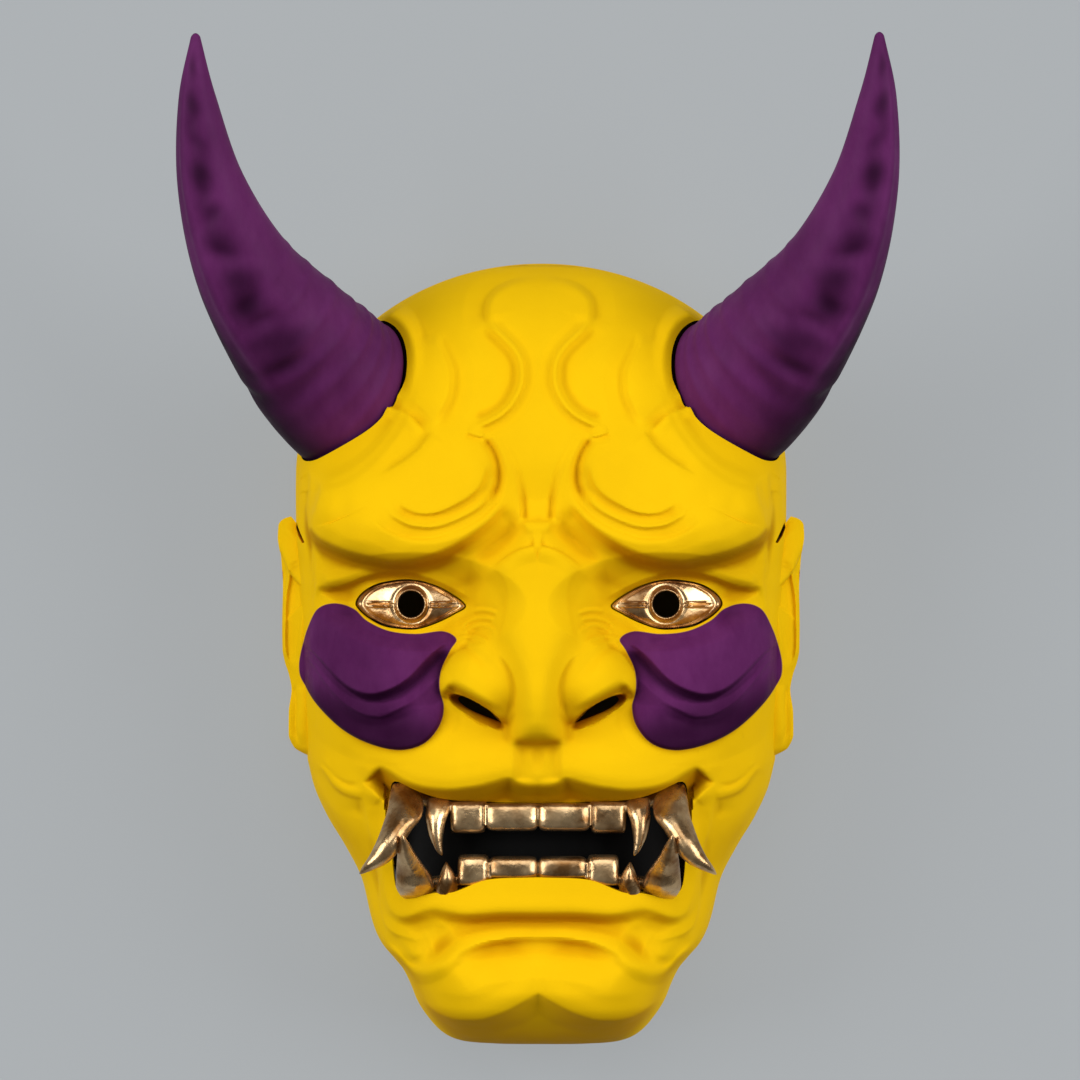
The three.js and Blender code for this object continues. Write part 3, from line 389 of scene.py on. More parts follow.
def nose(f):
    """the bridge, the tip, the wings with their pitted nostrils and the wrinkles beside them"""
    u, v = f.u, f.v
    across = np.clip(u / flow(v, NOSE_HALF), 0, 1)
    bridge = flow(v, NOSE_RIDGE) * (1 - across ** flow(v, NOSE_SQUARE)) ** 1.6
    web = 15 * blob(u, v, 9.5, -43, 15, np.where(v < -43, 12.5, 19), power=0.6)
    p = WING_WAY[0] * (u - WING_AT[0]) + WING_WAY[1] * (v - WING_AT[1])
    q = WING_WAY[1] * (u - WING_AT[0]) - WING_WAY[0] * (v - WING_AT[1])
    wing = 1 - np.abs((p + 1.7) / WING_LONG) ** 2.4 - np.abs((q - 2.5) / WING_WIDE) ** 2.4
    wing = WING_HIGH * np.clip(wing, 0, 1) ** 0.55
    under = smooth((p + 15) / 3) * smooth((7.5 - p) / 4)
    wing = wing - 6 * np.clip((q - 3.6) / 3.8, 0, 1) ** 2.4 * under
    rim = 4 + 0.8 * bell(q, 12.8, 0.6)
    share = smooth((q - 8.6) / 1.2) * under
    wing = wing * (1 - share) + np.minimum(wing, rim) * share
    skirt = 5 * blob(u, v, 16.5, -42, 18, 17, -25, power=1.5)
    body = greater(greater(greater(bridge, web, 4), wing, 1.6), skirt, 1.2)
    nostril = smooth((1 - ((p + 5) / 9.9) ** 2 - ((q - 9.75) / 2.7) ** 2) / 0.3)
    f.z += body * (1 - nostril) + flow(q, NOSTRIL_FLOOR) * nostril - 0.6
    f.line(BRIDGE_EDGE, [(-5, 0), (-2, 0.1), (-0.5, 0.25), (0.7, -0.3), (2.4, -0.3), (5, 0)], (0.1, 0.25))
    f.line(FROWN, [(-5, 0), (-1.6, 0.55), (-0.4, 0.55), (0.3, -0.8), (1.4, -0.7), (4.5, 0)], (0.05, 0.3),
           along=[(0, 1.3), (0.5, 1.3), (1, 0.8)])
    for wrinkle in WRINKLES:
        f.line(wrinkle, [(-2.4, 0), (-1.1, -0.25), (-0.5, 0.3), (0, 0.65), (0.5, 0.25), (1.2, -0.3),
                         (2.6, 0)], (0.1, 0.2))
    f.line(WING_EDGE, [(-5, 0), (-2, -0.35), (-0.5, -0.5), (0.5, 0.5), (2, 0.45), (6, 0)], (0.25, 0.3))


def cheek(f):
    """the cheek, its painted pad and the folds that cross it"""
    f.blob(3.5, 50, -34, 30, 22, -10, power=1.2)
    f.line(CHEEK, [(-4, 0), (-1.2, 0), (-0.2, -0.1), (0.7, 0.35), (2.5, 0.2), (5, 0)], closed=True,
           along=[(0, 0.3), (0.45, 0.3), (0.5, 0.6), (1, 0.6)])
    f.line(PAD_EDGE, [(-9.5, 0), (-5.5, 1.2), (-2.6, 1.9), (-1, 1.6), (0.1, -0.5), (1.2, -0.4), (4, 0)],
           (0.12, 0.15))
    f.blob(6.5, 53, -45, 31, 22, 22, power=1.25)
    f.line(CHEEK_ROLL, [(-6, 0), (-3.4, -1.65), (-2.2, -2.4), (-0.7, -1.05), (0.4, 1.2), (1.6, 1.05), (7, 0)],
           (0.1, 0.02), along=[(0, 0.5), (0.15, 0.9), (0.5, 1.1), (1, 0.9)])
    f.line(CHEEK_GROOVE, [(-3, 0), (-0.8, 0.42), (0.2, 0.63), (1, -0.14), (2, 0)], (0.2, 0.05))
    f.line(CHEEK_STEP, [(-7, 0), (-3, -1.8), (-0.7, -0.75), (0.4, 0.9), (1.4, 0.6), (3, 0)], (0.2, 0.05))


def mouth(f):
    """the lips, the groove above them and the folds at the corners of the mouth"""
    f.blob(6.5, 22, -68, 44, 17, -10)
    f.line(PHILTRUM, [(-6.6, 0), (-4.6, -0.5), (-2.2, -0.9), (-0.4, -0.2), (0.9, 0.35), (3.2, 0.2), (8, 0)],
           (0.12, 0.12))
    f.blob(-0.8, 0, -65, 2.6, 6)
    f.line(LIP_BREAK, [(-14, 0), (-6, 0.5), (-2, 1.1), (-0.5, 1.1), (0.5, 0.3), (2, -2.6), (4.4, -6.6),
                       (7, -9.2), (12, -8), (26, 0)], (0.08, 0))
    f.line(POCKET, [(-8, 0), (-5, -0.9), (-2.8, -1.8), (-1, -1.1), (0.2, 0.2), (1.4, 0.4), (4, 0)],
           (0.2, 0.1))
    f.line(FOLD_TOP, [(-4, 0), (-1.4, 0.25), (-0.2, -0.4), (0.6, 0.1), (1.6, 0.5), (3.5, 0)], (0.1, 0.25))
    f.line(FOLD_LOW, [(-3, 0), (-1, 0.7), (-0.1, 0.6), (0.9, -0.6), (2.4, -0.9), (7, 0)], (0.1, 0.1))
    f.line(SIDE_OUT, [(-5, 0), (-1.2, 0.7), (-0.2, 0.6), (0.8, -0.9), (2.4, -1.5), (10, 0)], (0.08, 0.25))
    f.line(LOW_LIP, [(-11, 0), (-6, 1), (-2, 1.7), (-0.5, 1.4), (0.5, 0.1), (1.8, -2.3), (3.4, -3.9),
                     (5, -3.8), (8, -2.4), (14, 0)], (0.05, 0),
           along=[(0, 0.3), (0.3, 0.45), (0.42, 0.6), (0.6, 0.8), (0.8, 1.1), (1, 1.15)],
           wide=[(0, 0.7), (0.4, 0.7), (0.6, 1), (1, 1)])


def chin(f):
    """the chin, its crease and the edge it breaks at, which is rounded where its two halves meet"""
    f.blob(3.5, 19, -136, 22, 15, power=1.2)
    f.blob(1.5, 0, -125, 10, 8)
    f.blob(-3, 34, -121, 11, 7, 25, power=1.5)
    f.line(CHIN_TOP, [(-6, 0), (-3, -0.7), (-0.9, -1.5), (0.3, -1.1), (1.6, 0.6), (3.2, 1.1), (7, 0)],
           (0.08, 0), along=[(0, 0.8), (0.25, 1.5), (0.4, 1.5), (0.6, 0.6), (1, 0.5)])
    f.line(CHIN_CREASE, [(-4, 0), (-1.4, 0.5), (-0.4, 0.5), (0.5, -0.6), (2, -3.2), (3.8, -4.1), (7, -2.5),
                         (12, 0)], (0.55, 0), along=[(0, 0.9), (0.4, 1.2), (1, 0.95)])
    apex = Ledger(np.hypot(f.u, APEX_ROUND), f.v)
    apex.line(CHIN_BREAK, [(-30, -7.4), (-12, -7.2), (-7, -5.8), (-3.2, -3.3), (-0.3, -0.2), (0.4, 0.8),
                           (2, 0.9), (7, 0)], (0, 0.2), wide=[(0, 1.1), (0.3, 1), (1, 0.9)])
    f.z += apex.z


def seat(u, v, z):
    """brings the skin round a horn out to the plane of the horn's foot, with a low lip about it"""
    du, dv = u - HORN_SEAT_AT[0], v - HORN_SEAT_AT[1]
    plane = HORN_SEAT_AT[2] - (HORN_AXIS[0] * du + HORN_AXIS[1] * dv) / HORN_AXIS[2]
    dz = plane - HORN_SEAT_AT[2]
    far = np.sqrt(du * du + dv * dv + dz * dz)
    inland = smooth((1 - u / np.maximum(half_width(v), TINY)) / 0.12)
    w = smooth((SEAT_REACH - far) / SEAT_FADE) * inland
    lip = 1.2 * bell(far, SEAT_LIP_AT, 2.2)
    return z * (1 - w) + (np.maximum(plane, z - 3) + 0.4) * w + lip * inland


def face_height(u, v):
    """height of the face's outer surface"""
    f = Ledger(u, v)
    for carve in (forehead, brow, nose, cheek, mouth, chin):
        carve(f)
    from_edge = np.minimum(half_width(v) - u, 0.8 * (CROWN_Y - v))
    return seat(u, v, base(u, v) + smooth(from_edge / 6) * f.z)


def make_object(name, points, faces):
    """a mesh object from points in millimetres and faces of 3 or more corners"""
    mesh = bpy.data.meshes.new(name)
    p = np.array(points, float) * MM
    p[:, 1] += FACE_LEVEL_Y * MM
    mesh.from_pydata(p.tolist(), [], [list(map(int, f)) for f in faces])
    mesh.update()
    obj = bpy.data.objects.new(name, mesh)
    bpy.context.collection.objects.link(obj)
    return obj


def closed_solid(name, points, faces):
    """a mesh object with its faces turned outwards"""
    fans = np.array([(f[0], f[i], f[i + 1]) for f in faces for i in range(1, len(f) - 1)])
    a, b, c = points[fans.T]
    if np.sum(a * np.cross(b, c)) < 0:
        faces = [f[::-1] for f in faces]
    return make_object(name, points, faces)


def quads(at):
    """four-cornered faces between the points of a numbered grid"""
    corners = (at[:-1, :-1], at[:-1, 1:], at[1:, 1:], at[1:, :-1])
    return np.column_stack([corner.ravel() for corner in corners])


def sweep(name, rings):
    """a solid through rings of equally many points, closed by a fan at each end"""
    rings = np.array(rings)
    m, n = rings.shape[:2]
    at = np.pad(np.arange(m * n).reshape(m, n), ((0, 0), (0, 1)), "wrap")
    points = np.vstack([rings.reshape(-1, 3), rings[0].mean(0), rings[-1].mean(0)])
    faces = [list(f) for f in quads(at)]
    faces += [[m * n, b, a] for a, b in zip(at[0], at[0, 1:])]
    faces += [[m * n + 1, a, b] for a, b in zip(at[-1], at[-1, 1:])]
    return closed_solid(name, points, faces)


def prism(outline, low, high, side=1, slope=0.0):
    """an upright block on an outline of (u, v), its floor falling by slope away from the eye's centre"""
    line = np.array(outline)
    n = len(line)
    fall = slope * (line[:, 0] - EYE_CENTRE[0])
    points = np.vstack([np.column_stack([side * line[:, 0], line[:, 1], z - fall]) for z in (low, high)])
    k = np.arange(n)
    walls = [[a, b, b + n, a + n] for a, b in zip(k, np.roll(k, -1))]
    return closed_solid("block", points, walls + [list(k[::-1]), list(k + n)])


def apply_modifiers(obj):
    graph = bpy.context.evaluated_depsgraph_get()
    done = bpy.data.meshes.new_from_object(obj.evaluated_get(graph))
    obj.modifiers.clear()
    old = obj.data
    obj.data = done
    bpy.data.meshes.remove(old)


def combine(obj, other, operation):
    """joins other to obj, or cuts it out of obj, and removes it"""
    m = obj.modifiers.new("combine", "BOOLEAN")
    m.operation = operation
    m.solver = "MANIFOLD"
    m.object = other
    apply_modifiers(obj)
    bpy.data.meshes.remove(other.data)


def mesh_vectors(obj, name):
    """the coordinates or normals of a mesh's points"""
    values = np.empty(len(obj.data.vertices) * 3)
    obj.data.vertices.foreach_get(name, values)
    return values.reshape(-1, 3)


def mesh_points(obj):
    """places of a mesh's points in millimetres"""
    p = mesh_vectors(obj, "co") / MM
    p[:, 1] -= FACE_LEVEL_Y
    return p


def set_attribute(obj, name, values):
    a = obj.data.attributes.new(name, "FLOAT", "POINT")
    a.data.foreach_set("value", np.asarray(values, np.float32))


def soften(obj, degrees):
    """smooth shading that keeps edges sharper than this"""
    obj.data.shade_smooth()
    obj.data.set_sharp_from_angle(angle=math.radians(degrees))


def outline_reach(angle, inset):
    """distance from the grid's centre to the outline in each direction"""
    v = CHIN_Y + (CROWN_Y - CHIN_Y) * (0.5 - 0.5 * np.cos(np.linspace(0, np.pi, 1441)))
    w = half_width(v)
    a = np.arctan2(v - GRID_CENTRE_Y, w)
    r = np.hypot(w, v - GRID_CENTRE_Y)
    return np.interp(np.arcsin(np.sin(angle)), a, r) - inset


def skin(columns, rows, rings, inset, height):
    """points, faces and rim of a skin: a grid drawn out to the head's outline, then rings down to the rim"""
    i, j = np.meshgrid(np.arange(columns + 1), np.arange(rows + 1))
    s, t = 2 * i / columns - 1, 2 * j / rows - 1
    s = s * (1 - GRID_CROWD + GRID_CROWD * s * s)
    t = t * (1 - GRID_CROWD + GRID_CROWD * t * t)
    a, b = s * np.sqrt(1 - t * t / 2), t * np.sqrt(1 - s * s / 2)
    r, angle = np.minimum(1, np.hypot(a, b)), np.arctan2(b, a)
    pace = 2 / (1 + EVEN_REACH)
    far = np.where(r < EVEN_REACH, pace * r, 1 - pace * (1 - r) ** 2 / (2 * (1 - EVEN_REACH)))
    far = far * outline_reach(angle, inset)
    x, y = far * np.cos(angle), GRID_CENTRE_Y + far * np.sin(angle)
    z = np.where(r > 0.9999, WIDEST_Z, height(np.abs(x), y))
    points = [np.column_stack([x.ravel(), y.ravel(), z.ravel()])]
    at = j * (columns + 1) + i
    faces = [quads(at)]
    loop = np.concatenate([at[0, :-1], at[:-1, -1], at[-1, :0:-1], at[:0:-1, 0]])
    border_x, border_y = points[0][loop, :2].T
    count = len(points[0])
    for down in np.arange(1, rings + 1) / rings:
        scale = 1 - RIM_TUCK * down * down
        points.append(np.column_stack([border_x * scale, GRID_CENTRE_Y + (border_y - GRID_CENTRE_Y) * scale,
                                       np.full(len(loop), WIDEST_Z * (1 - down))]))
        new = np.arange(count, count + len(loop))
        faces.append(np.column_stack([np.roll(loop, -1), loop, new, np.roll(new, -1)]))
        loop, count = new, count + len(loop)
    return np.vstack(points), np.vstack(faces), loop


def arch(u):
    """how far the teeth and the mouth's back stand behind their middle"""
    return MOUTH_BOW * u * u


def hollow_height(u, v):
    """inner surface: the outer one set back by the wall, and thick behind the mouth"""
    low = face_height(u, v) - WALL
    for reach, drop in ((0.7 * WALL, 0.7 * WALL), (WALL, 0)):
        for k in range(8):
            a = k * math.pi / 4
            there = face_height(np.abs(u + reach * math.cos(a)), v + reach * math.sin(a))
            low = np.minimum(low, there - drop)
    thick = smooth((1.25 - np.hypot(u / 56, (v + 91) / 30)) / 0.25)
    return np.minimum(low, (MOUTH_BACK_Z - arch(u)) * thick + low * (1 - thick))


def shell_mesh():
    """the open shell of the face: outer and inner skin joined along the rim, thinned out where it is flat"""
    columns, rows = OUTER_GRID
    outer, outer_faces, rim = skin(columns, rows, 5, 0, face_height)
    inner, inner_faces, inner_rim = skin(columns // INNER_STEP, rows // INNER_STEP, 4, WALL, hollow_height)
    inner_rim = inner_rim + len(outer)
    faces = [list(f) for f in outer_faces] + [list(f[::-1] + len(outer)) for f in inner_faces]
    half = INNER_STEP // 2 + 1
    for k, (here, there) in enumerate(zip(inner_rim, np.roll(inner_rim, -1))):
        run = [rim[(INNER_STEP * k + i) % len(rim)] for i in range(INNER_STEP + 1)]
        for i in range(INNER_STEP):
            faces.append([run[i + 1], run[i], here if i < half else there])
        faces.append([run[half], here, there])
    obj = make_object("face", np.vstack([outer, inner]), faces)
    m = obj.modifiers.new("thin_out", "DECIMATE")
    m.ratio = FACE_TRIANGLES / sum(len(f) - 2 for f in faces)
    apply_modifiers(obj)
    return obj


# Rows of an ear, up from its lobe: level, half-width, height of its front by the head and height of its edge
EAR_ROWS = [(-68.3, 71.2, 41, 37.5), (-67, 73.9, 42, 38), (-64.8, 76.9, 43.5, 39), (-60.8, 78.4, 45, 40),
            (-54, 78.3, 46.5, 41), (-46.9, 77.4, 47, 42), (-42.3, 78.2, 48, 42), (-38, 79.6, 49, 42),
            (-34.5, 80.2, 50, 42.5), (-26, 80.3, 50.5, 43), (-15.9, 80.2, 50.5, 43), (-8.2, 80.6, 50, 42.5),
            (-4.1, 81, 49, 42), (1, 81.7, 47.5, 41), (4.4, 81.6, 46.5, 40), (6, 81.2, 46, 40),
            (6.9, 80.6, 46, 40)]
EAR_LEVELS, EAR_ACROSS, EAR_BACK = 170, 36, 12
EAR_BURY, EAR_TIP_DROP, EAR_TIP_ROUND = 3.0, 6.2, 3.0
EAR_DEEP = [(-68.4, 9), (-64, 15), (-54, 22), (-38, 27), (-20, 29), (-6, 25), (2, 17), (7, 9)]
EAR_PLATE = [(82.2, -2.2), (80.4, -4.8), (78.7, -8.4), (75.9, -12.6), (73.1, -15.4), (70.6, -18.2)]
EAR_RIM_LINE = [(79, -7.5), (78, -11.1), (79, -18), (79.3, -26.2), (79.2, -34.6), (77.4, -41)]
EAR_INNER = [(72.4, -16.5), (72.9, -22), (74.2, -30), (75.2, -37)]
EAR_LOBE = [(75.7, -45), (75.4, -52), (75.6, -59), (74.4, -64.5)]
EAR_NOTCH = [(75.3, 5), (72.2, -1.2), (73, -1.4), (74.6, 0.8), (75.8, 3.4)]
NOSTRIL_OUTLINE = [(24.3, -48.3), (22.4, -47.2), (20.3, -48.1), (17.3, -49.9), (14.3, -52.3), (12.2, -54.4),
                   (11, -55.5), (14.3, -54.3), (17.3, -53.1), (20.3, -51.8), (22.9, -50.2)]


def ear_column(v, column):
    """one column of the ear's rows at level v"""
    return flow(v, [(row[0], row[column]) for row in EAR_ROWS])


def make_ear(side):
    """an ear: a plate that springs from the side of the head, its upper part folded forward over the rest"""
    v = np.linspace(EAR_ROWS[0][0], EAR_ROWS[-1][0], EAR_LEVELS)[:, None]
    p = np.linspace(0, 1, EAR_ACROSS)
    root = half_width(v) - EAR_BURY
    reach, front_z, edge_z = [ear_column(v, column) for column in (1, 2, 3)]
    x = root + (reach - root) * p
    y = v - EAR_TIP_DROP * smooth((v + 14) / 21) * (1 - p) ** 1.2
    f = Ledger(x, y)
    f.line(EAR_PLATE, [(-9, 0), (-4, 0.5), (-0.8, 1.6), (-0.1, 1.1), (0.5, -2.6), (3, -2.4), (8, -0.9),
                       (14, 0)], (0, 0.04))
    f.line(EAR_RIM_LINE, [(-5.5, 0), (-2.4, -1.7), (-1, -0.9), (-0.1, 0.9), (0.5, 0.5), (1.2, -0.8),
                          (2.6, -0.8)], (0.1, 0.2))
    f.line(EAR_INNER, [(-2.5, 0), (-0.6, 0.6), (0, 0.7), (0.9, -0.5), (3, 0)], (0.2, 0.3))
    f.line(EAR_LOBE, [(-4, 0), (-1.2, 0.8), (-0.2, 0.4), (0.5, -1.1), (1.4, -0.4), (2.6, 0.5), (4, 0)],
           (0.15, 0.25))
    z = front_z + (edge_z - front_z) * p ** 1.6 + f.z
    turn = np.pi / 2 * np.linspace(0, 1, EAR_BACK)[1:]
    rear_x = root + (reach - root) * np.cos(turn) ** 0.8
    rear_z = edge_z + (front_z - flow(v, EAR_DEEP) - edge_z) * np.sin(turn)
    rings = []
    for r, level in enumerate(v[:, 0]):
        front = np.column_stack([x[r], y[r], z[r]])
        rear = np.column_stack([rear_x[r], np.interp(rear_x[r], x[r], y[r]), rear_z[r]])
        ring = np.vstack([front, rear])
        scale = max(0.06, round_end(min(v[-1, 0] - level, level - v[0, 0]), EAR_TIP_ROUND))
        middle = np.array([root[r, 0], level, ring[:, 2].mean()])
        ring = middle + (ring - middle) * [0.55 + 0.45 * scale, 1, scale]
        rings.append(ring * [side, 1, 1])
    return sweep("ear", rings)


def eye_outline(grow=0.0, share=1.0):
    """the eye's outline, moved out by grow and scaled about the eye's centre"""
    line = curve(EYE, 0.5, True)[:-1]
    along = np.roll(line, -1, 0) - np.roll(line, 1, 0)
    along /= np.hypot(along[:, 0], along[:, 1])[:, None]
    area = np.sum(line[:, 0] * np.roll(line[:, 1], -1) - np.roll(line[:, 0], -1) * line[:, 1])
    out = np.column_stack([along[:, 1], -along[:, 0]]) * np.sign(area)
    return np.array(EYE_CENTRE) + share * (line + grow * out - np.array(EYE_CENTRE))


def horn_seat(side):
    """the way a horn's foot points, two ways across it and the middle of its pocket's floor"""
    axis = np.array(HORN_AXIS) * [side, 1, 1]
    axis = axis / np.linalg.norm(axis)
    across = np.array([side * axis[1], -abs(axis[0]), 0])
    across = across / np.linalg.norm(across)
    centre = np.array(HORN_PATH[0]) * [side, 1, 1] - HORN_SINK * axis
    return axis, across, np.cross(axis, across), centre


def horn_plug(side):
    """the round block that cuts a horn's pocket"""
    axis, across, other, centre = horn_seat(side)
    a = np.linspace(0, 2 * np.pi, HORN_SIDES, endpoint=False)[:, None]
    ring = (HORN_FOOT + 2 * GAP) * (np.cos(a) * across + np.sin(a) * other)
    return sweep("plug", [centre + ring, centre + 40 * axis + ring])


def cut_face(shell):
    """joins the ears to the shell and cuts the horn pockets, eye sockets, nostrils and mouth"""
    for side in (-1, 1):
        combine(shell, make_ear(side), "UNION")
        cutters = [prism(EAR_NOTCH, 34, 80, side), horn_plug(side),
                   prism(eye_outline(), EYE_FLOOR_Z, 125, side, EYE_SLOPE),
                   prism(eye_outline(share=0.78), 30, 125, side),
                   prism(curve(NOSTRIL_OUTLINE, 0.6, True)[:-1], 50, 140, side)]
        for cutter in cutters:
            combine(shell, cutter, "DIFFERENCE")
    right = curve(MOUTH, 1.0)
    combine(shell, prism(np.vstack([right, right[-2:0:-1] * [-1, 1]]), 40, 135), "DIFFERENCE")
    return shell


HORN_SIDES, HORN_RINGS, HORN_TIP_RINGS, HORN_SPAN_STEPS, HORN_TIP_ROUND = 96, 210, 12, 40, 1.4

# Places along a horn, as shares of its length, and depths or heights in millimetres
HORN_DENTS = [(0.16, 0.6), (0.25, 0.8), (0.33, 1), (0.41, 1.1), (0.5, 1.1), (0.585, 1), (0.66, 0.9),
              (0.73, 0.7), (0.8, 0.5)]
HORN_WAVES = [(0.055, 0.5), (0.1, 0.35), (0.15, 0.45), (0.21, 0.4), (0.27, 0.35), (0.35, 0.3), (0.43, 0.25)]


def horn_relief(t, radius, angle):
    """height on a horn at share t of its length; angle 0 faces the viewer and positive ones the outer side"""
    size = radius / HORN_FOOT
    ridge = bell(angle, 0.72, 0.2) * 1.9 * (0.25 + size) * smooth((0.97 - t) / 0.3)
    ridge = ridge * smooth((t - 0.14) / 0.25)
    dents = sum(deep * bell(t - at - 0.012 + 0.02 * np.sin(2.1 * angle + 31 * at), 0, 0.019)
                for at, deep in HORN_DENTS)
    valley = bell(angle, 0.2, 0.42) * (0.5 + 1.3 * dents) * (0.2 + size) * 0.9 * smooth((0.93 - t) / 0.2)
    waves = sum(high * bell(t - at - 0.012 * np.sin(angle * 1.3 + 9 * at), 0, 0.013)
                for at, high in HORN_WAVES)
    foot_dent = 0.7 * bell(t, 0.19, 0.02) * bell(angle, 1.4, 0.4)
    return ridge - valley + waves * (0.5 + 0.5 * np.cos(angle + 1.1)) - foot_dent


def horn_shade_and_mottle(t, angle):
    """how dark the paint is on a horn at share t of its length: painted shade in its valley, on its outer
    side near the foot and at its outer edge, a painted highlight along its ridge, and its mottling
    """
    middle = 0.18 + 0.2 * smooth((0.5 - t) / 0.4)
    uneven = 0.22 * np.sin(47 * t + 1.3 * angle) + 0.16 * np.sin(83 * t - 2.4 * angle + 1)
    uneven = 0.5 + uneven + 0.12 * np.sin(29 * t + 4 * angle)
    # painted shade along the valley beside the ridge
    valley = bell(angle, middle, 0.6) * smooth((t - 0.1) / 0.2) * smooth((1 - t) / 0.08)
    # painted shade on the outer side towards the foot
    outer = smooth((angle - 0.15) / 1.1) * smooth((0.62 - t) / 0.45) * 0.7
    # painted shade where the outer side turns away
    rim = 0.35 * smooth((angle - 1.1) / 0.4)
    streaks = 0.15 * np.sin(95 * t + 2.2 * angle) * smooth((0.42 - t) / 0.2) * bell(angle, -0.3, 0.9)
    # painted highlight along the ridge
    ridge_highlight = bell(angle, 0.8, 0.13) * 0.6 * smooth((t - 0.12) / 0.3)
    return np.clip((0.2 + 0.5 * uneven) * valley + outer + rim + streaks - ridge_highlight, 0, 0.85)


def make_horn(side):
    """a horn: rings along its curved middle line, with relief, and marks of painted shade and highlight over
    its mottling, turned towards the viewer
    """
    axis, across, _, centre = horn_seat(side)
    foot = centre + GAP * axis
    knots = np.vstack([foot, foot + HORN_STRAIGHT * axis, np.array(HORN_PATH[1:]) * [side, 1, 1]])
    line = curve(knots, count=HORN_SPAN_STEPS)
    run = np.concatenate([[0], np.cumsum(np.linalg.norm(np.diff(line, axis=0), axis=1))])
    total = run[-1]
    radii = list(zip(run[::HORN_SPAN_STEPS], HORN_RADII))

    def place(s):
        return np.array([np.interp(s, run, line[:, i]) for i in range(3)])

    tip = 1 - 0.015 * np.linspace(1, 0, HORN_TIP_RINGS)[1:] ** 2
    a = np.linspace(0, 2 * np.pi, HORN_SIDES, endpoint=False)[:, None]
    rings, shade_and_mottle = [], []
    for t in np.concatenate([np.linspace(0, 0.985, HORN_RINGS), tip]):
        s = t * total
        step = place(min(total, s + 0.5)) - place(max(0, s - 0.5))
        blend = smooth(t / 0.22)
        n = axis * (1 - blend) + step / np.linalg.norm(step) * blend
        n /= np.linalg.norm(n)
        across = across - n * np.dot(across, n)
        across /= np.linalg.norm(across)
        direction = np.cos(a) * across + np.sin(a) * np.cross(n, across)
        view = np.array([0, 0, 1]) - n * n[2]
        view /= np.linalg.norm(view)
        angle = np.arctan2(direction @ np.cross(n, view) * side, direction @ view)
        radius = flow(s, radii)
        relief = horn_relief(t, radius, angle)
        # painted shade in the dents, added to the horn's marks
        shade_and_mottle.append(horn_shade_and_mottle(t, angle) + np.clip(-0.15 * relief, 0, 0.3))
        r = (radius + relief - 0.8 * (1 - round_end(s, 1.8))) * round_end(total - s, HORN_TIP_ROUND)
        rings.append(place(s) + direction * r[:, None])
    horn = sweep("horn", rings)
    set_attribute(horn, "painted_shade_and_tone", np.clip(np.concatenate(shade_and_mottle + [[0, 0]]), 0, 1))
    return horn


def make_eye(side):
    """an eye: a domed almond with a ring round its pupil hole and a double ridge from corner to corner"""
    outer = eye_outline(-GAP)
    cu, cv = EYE_CENTRE
    angle = np.arctan2(outer[:, 1] - cv, outer[:, 0] - cu)
    inner = np.column_stack([cu + PUPIL_RADIUS * np.cos(angle), cv + PUPIL_RADIUS * np.sin(angle)])
    first, last = [0, 0, 0.012, 0.03], [0.95, 0.965, 0.98, 0.992, 1, 1]
    rings = []
    for q in np.concatenate([first, np.linspace(0.05, 0.93, 34), last]):
        u, v = (outer + (inner - outer) * q).T
        far = np.hypot(u - cu, v - cv)
        dome = EYE_RIM_Z + (EYE_DOME_Z - EYE_RIM_Z) * math.sin(q * math.pi / 2)
        rim = 0.5 * bell(q, 0.05, 0.04) - 0.35 * bell(q, 0.14, 0.05)
        ring = 0.75 * bell(far, 4.35, 0.42) - 0.35 * bell(far, 5.6, 0.6)
        line = v - cv + 0.1
        reach = smooth((far - 5.2) / 1.2) * smooth((1 - np.abs(u - cu) / 15.5) / 0.25)
        double = 0.35 * (bell(line, 0.55, 0.32) + bell(line, -0.55, 0.32)) - 0.3 * bell(line, 0, 0.22)
        z = dome + rim + ring + double * reach - EYE_SLOPE * (u - cu)
        rings.append(np.column_stack([side * u, v, z]))
    for ring in (rings[0], rings[-1]):
        ring[:, 2] = EYE_FLOOR_Z + GAP - EYE_SLOPE * (side * ring[:, 0] - cu)
    rings = np.array(rings)
    m, n = rings.shape[:2]
    at = np.pad(np.arange(m * n).reshape(m, n), ((0, 1), (0, 1)), "wrap")
    return closed_solid("eye", rings.reshape(-1, 3), list(quads(at)))


UPPER_GUM = [(0, -79.95), (17, -79.65), (29, -78.45), (36, -76.3), (40.5, -74.3), (43, -73.7)]
LOWER_GUM = [(0, -101.45), (11.3, -101.75), (17.3, -102.7), (22.7, -105), (26.3, -106.2), (31, -106.4),
             (35.9, -107.6), (41, -108.2)]

# Blocks and posts are given by their places across the row and the level of their tips. A fang is rows of its
# place u, v and z, its half-width and its half-depth. Ridge is how far the fangs are from round.
UPPER_TEETH = {
    "ridge": -0.25,
    "blocks": [(0, 15.6, -87.9), (15.7, 26.5, -88.7)],
    "posts": [(15.65, -86.2)],
    "fangs": [
        [(30.6, -78, 84, 2.9, 2.6), (30, -79.6, 86, 3.6, 3.2), (30.3, -82.3, 87.6, 3.5, 3.3),
         (30.7, -85, 88.6, 2.95, 3), (30.6, -88.8, 89.4, 2.2, 2.3), (30.1, -91.8, 89.6, 1.5, 1.6),
         (29.4, -94.1, 89.6, 0.9, 1), (28.8, -95.3, 89.6, 0.2, 0.2)],
        [(41.4, -73.9, 81, 2.4, 2.2), (40.4, -75.8, 83.6, 4.1, 3.4), (39.8, -79.6, 87.4, 5.36, 4.4),
         (40.3, -83.4, 90.6, 5.5, 4.8), (42.3, -87.2, 93.2, 4.7, 4.4), (44.3, -91.1, 94.8, 4.2, 3.8),
         (46.5, -94.9, 95.2, 3.9, 3), (48.5, -97.2, 94.9, 3.4, 2.3), (50.5, -98.8, 94.2, 2.4, 1.6),
         (52.5, -100.1, 93.2, 1, 0.9), (53.5, -100.7, 92.6, 0.2, 0.2)],
    ],
}
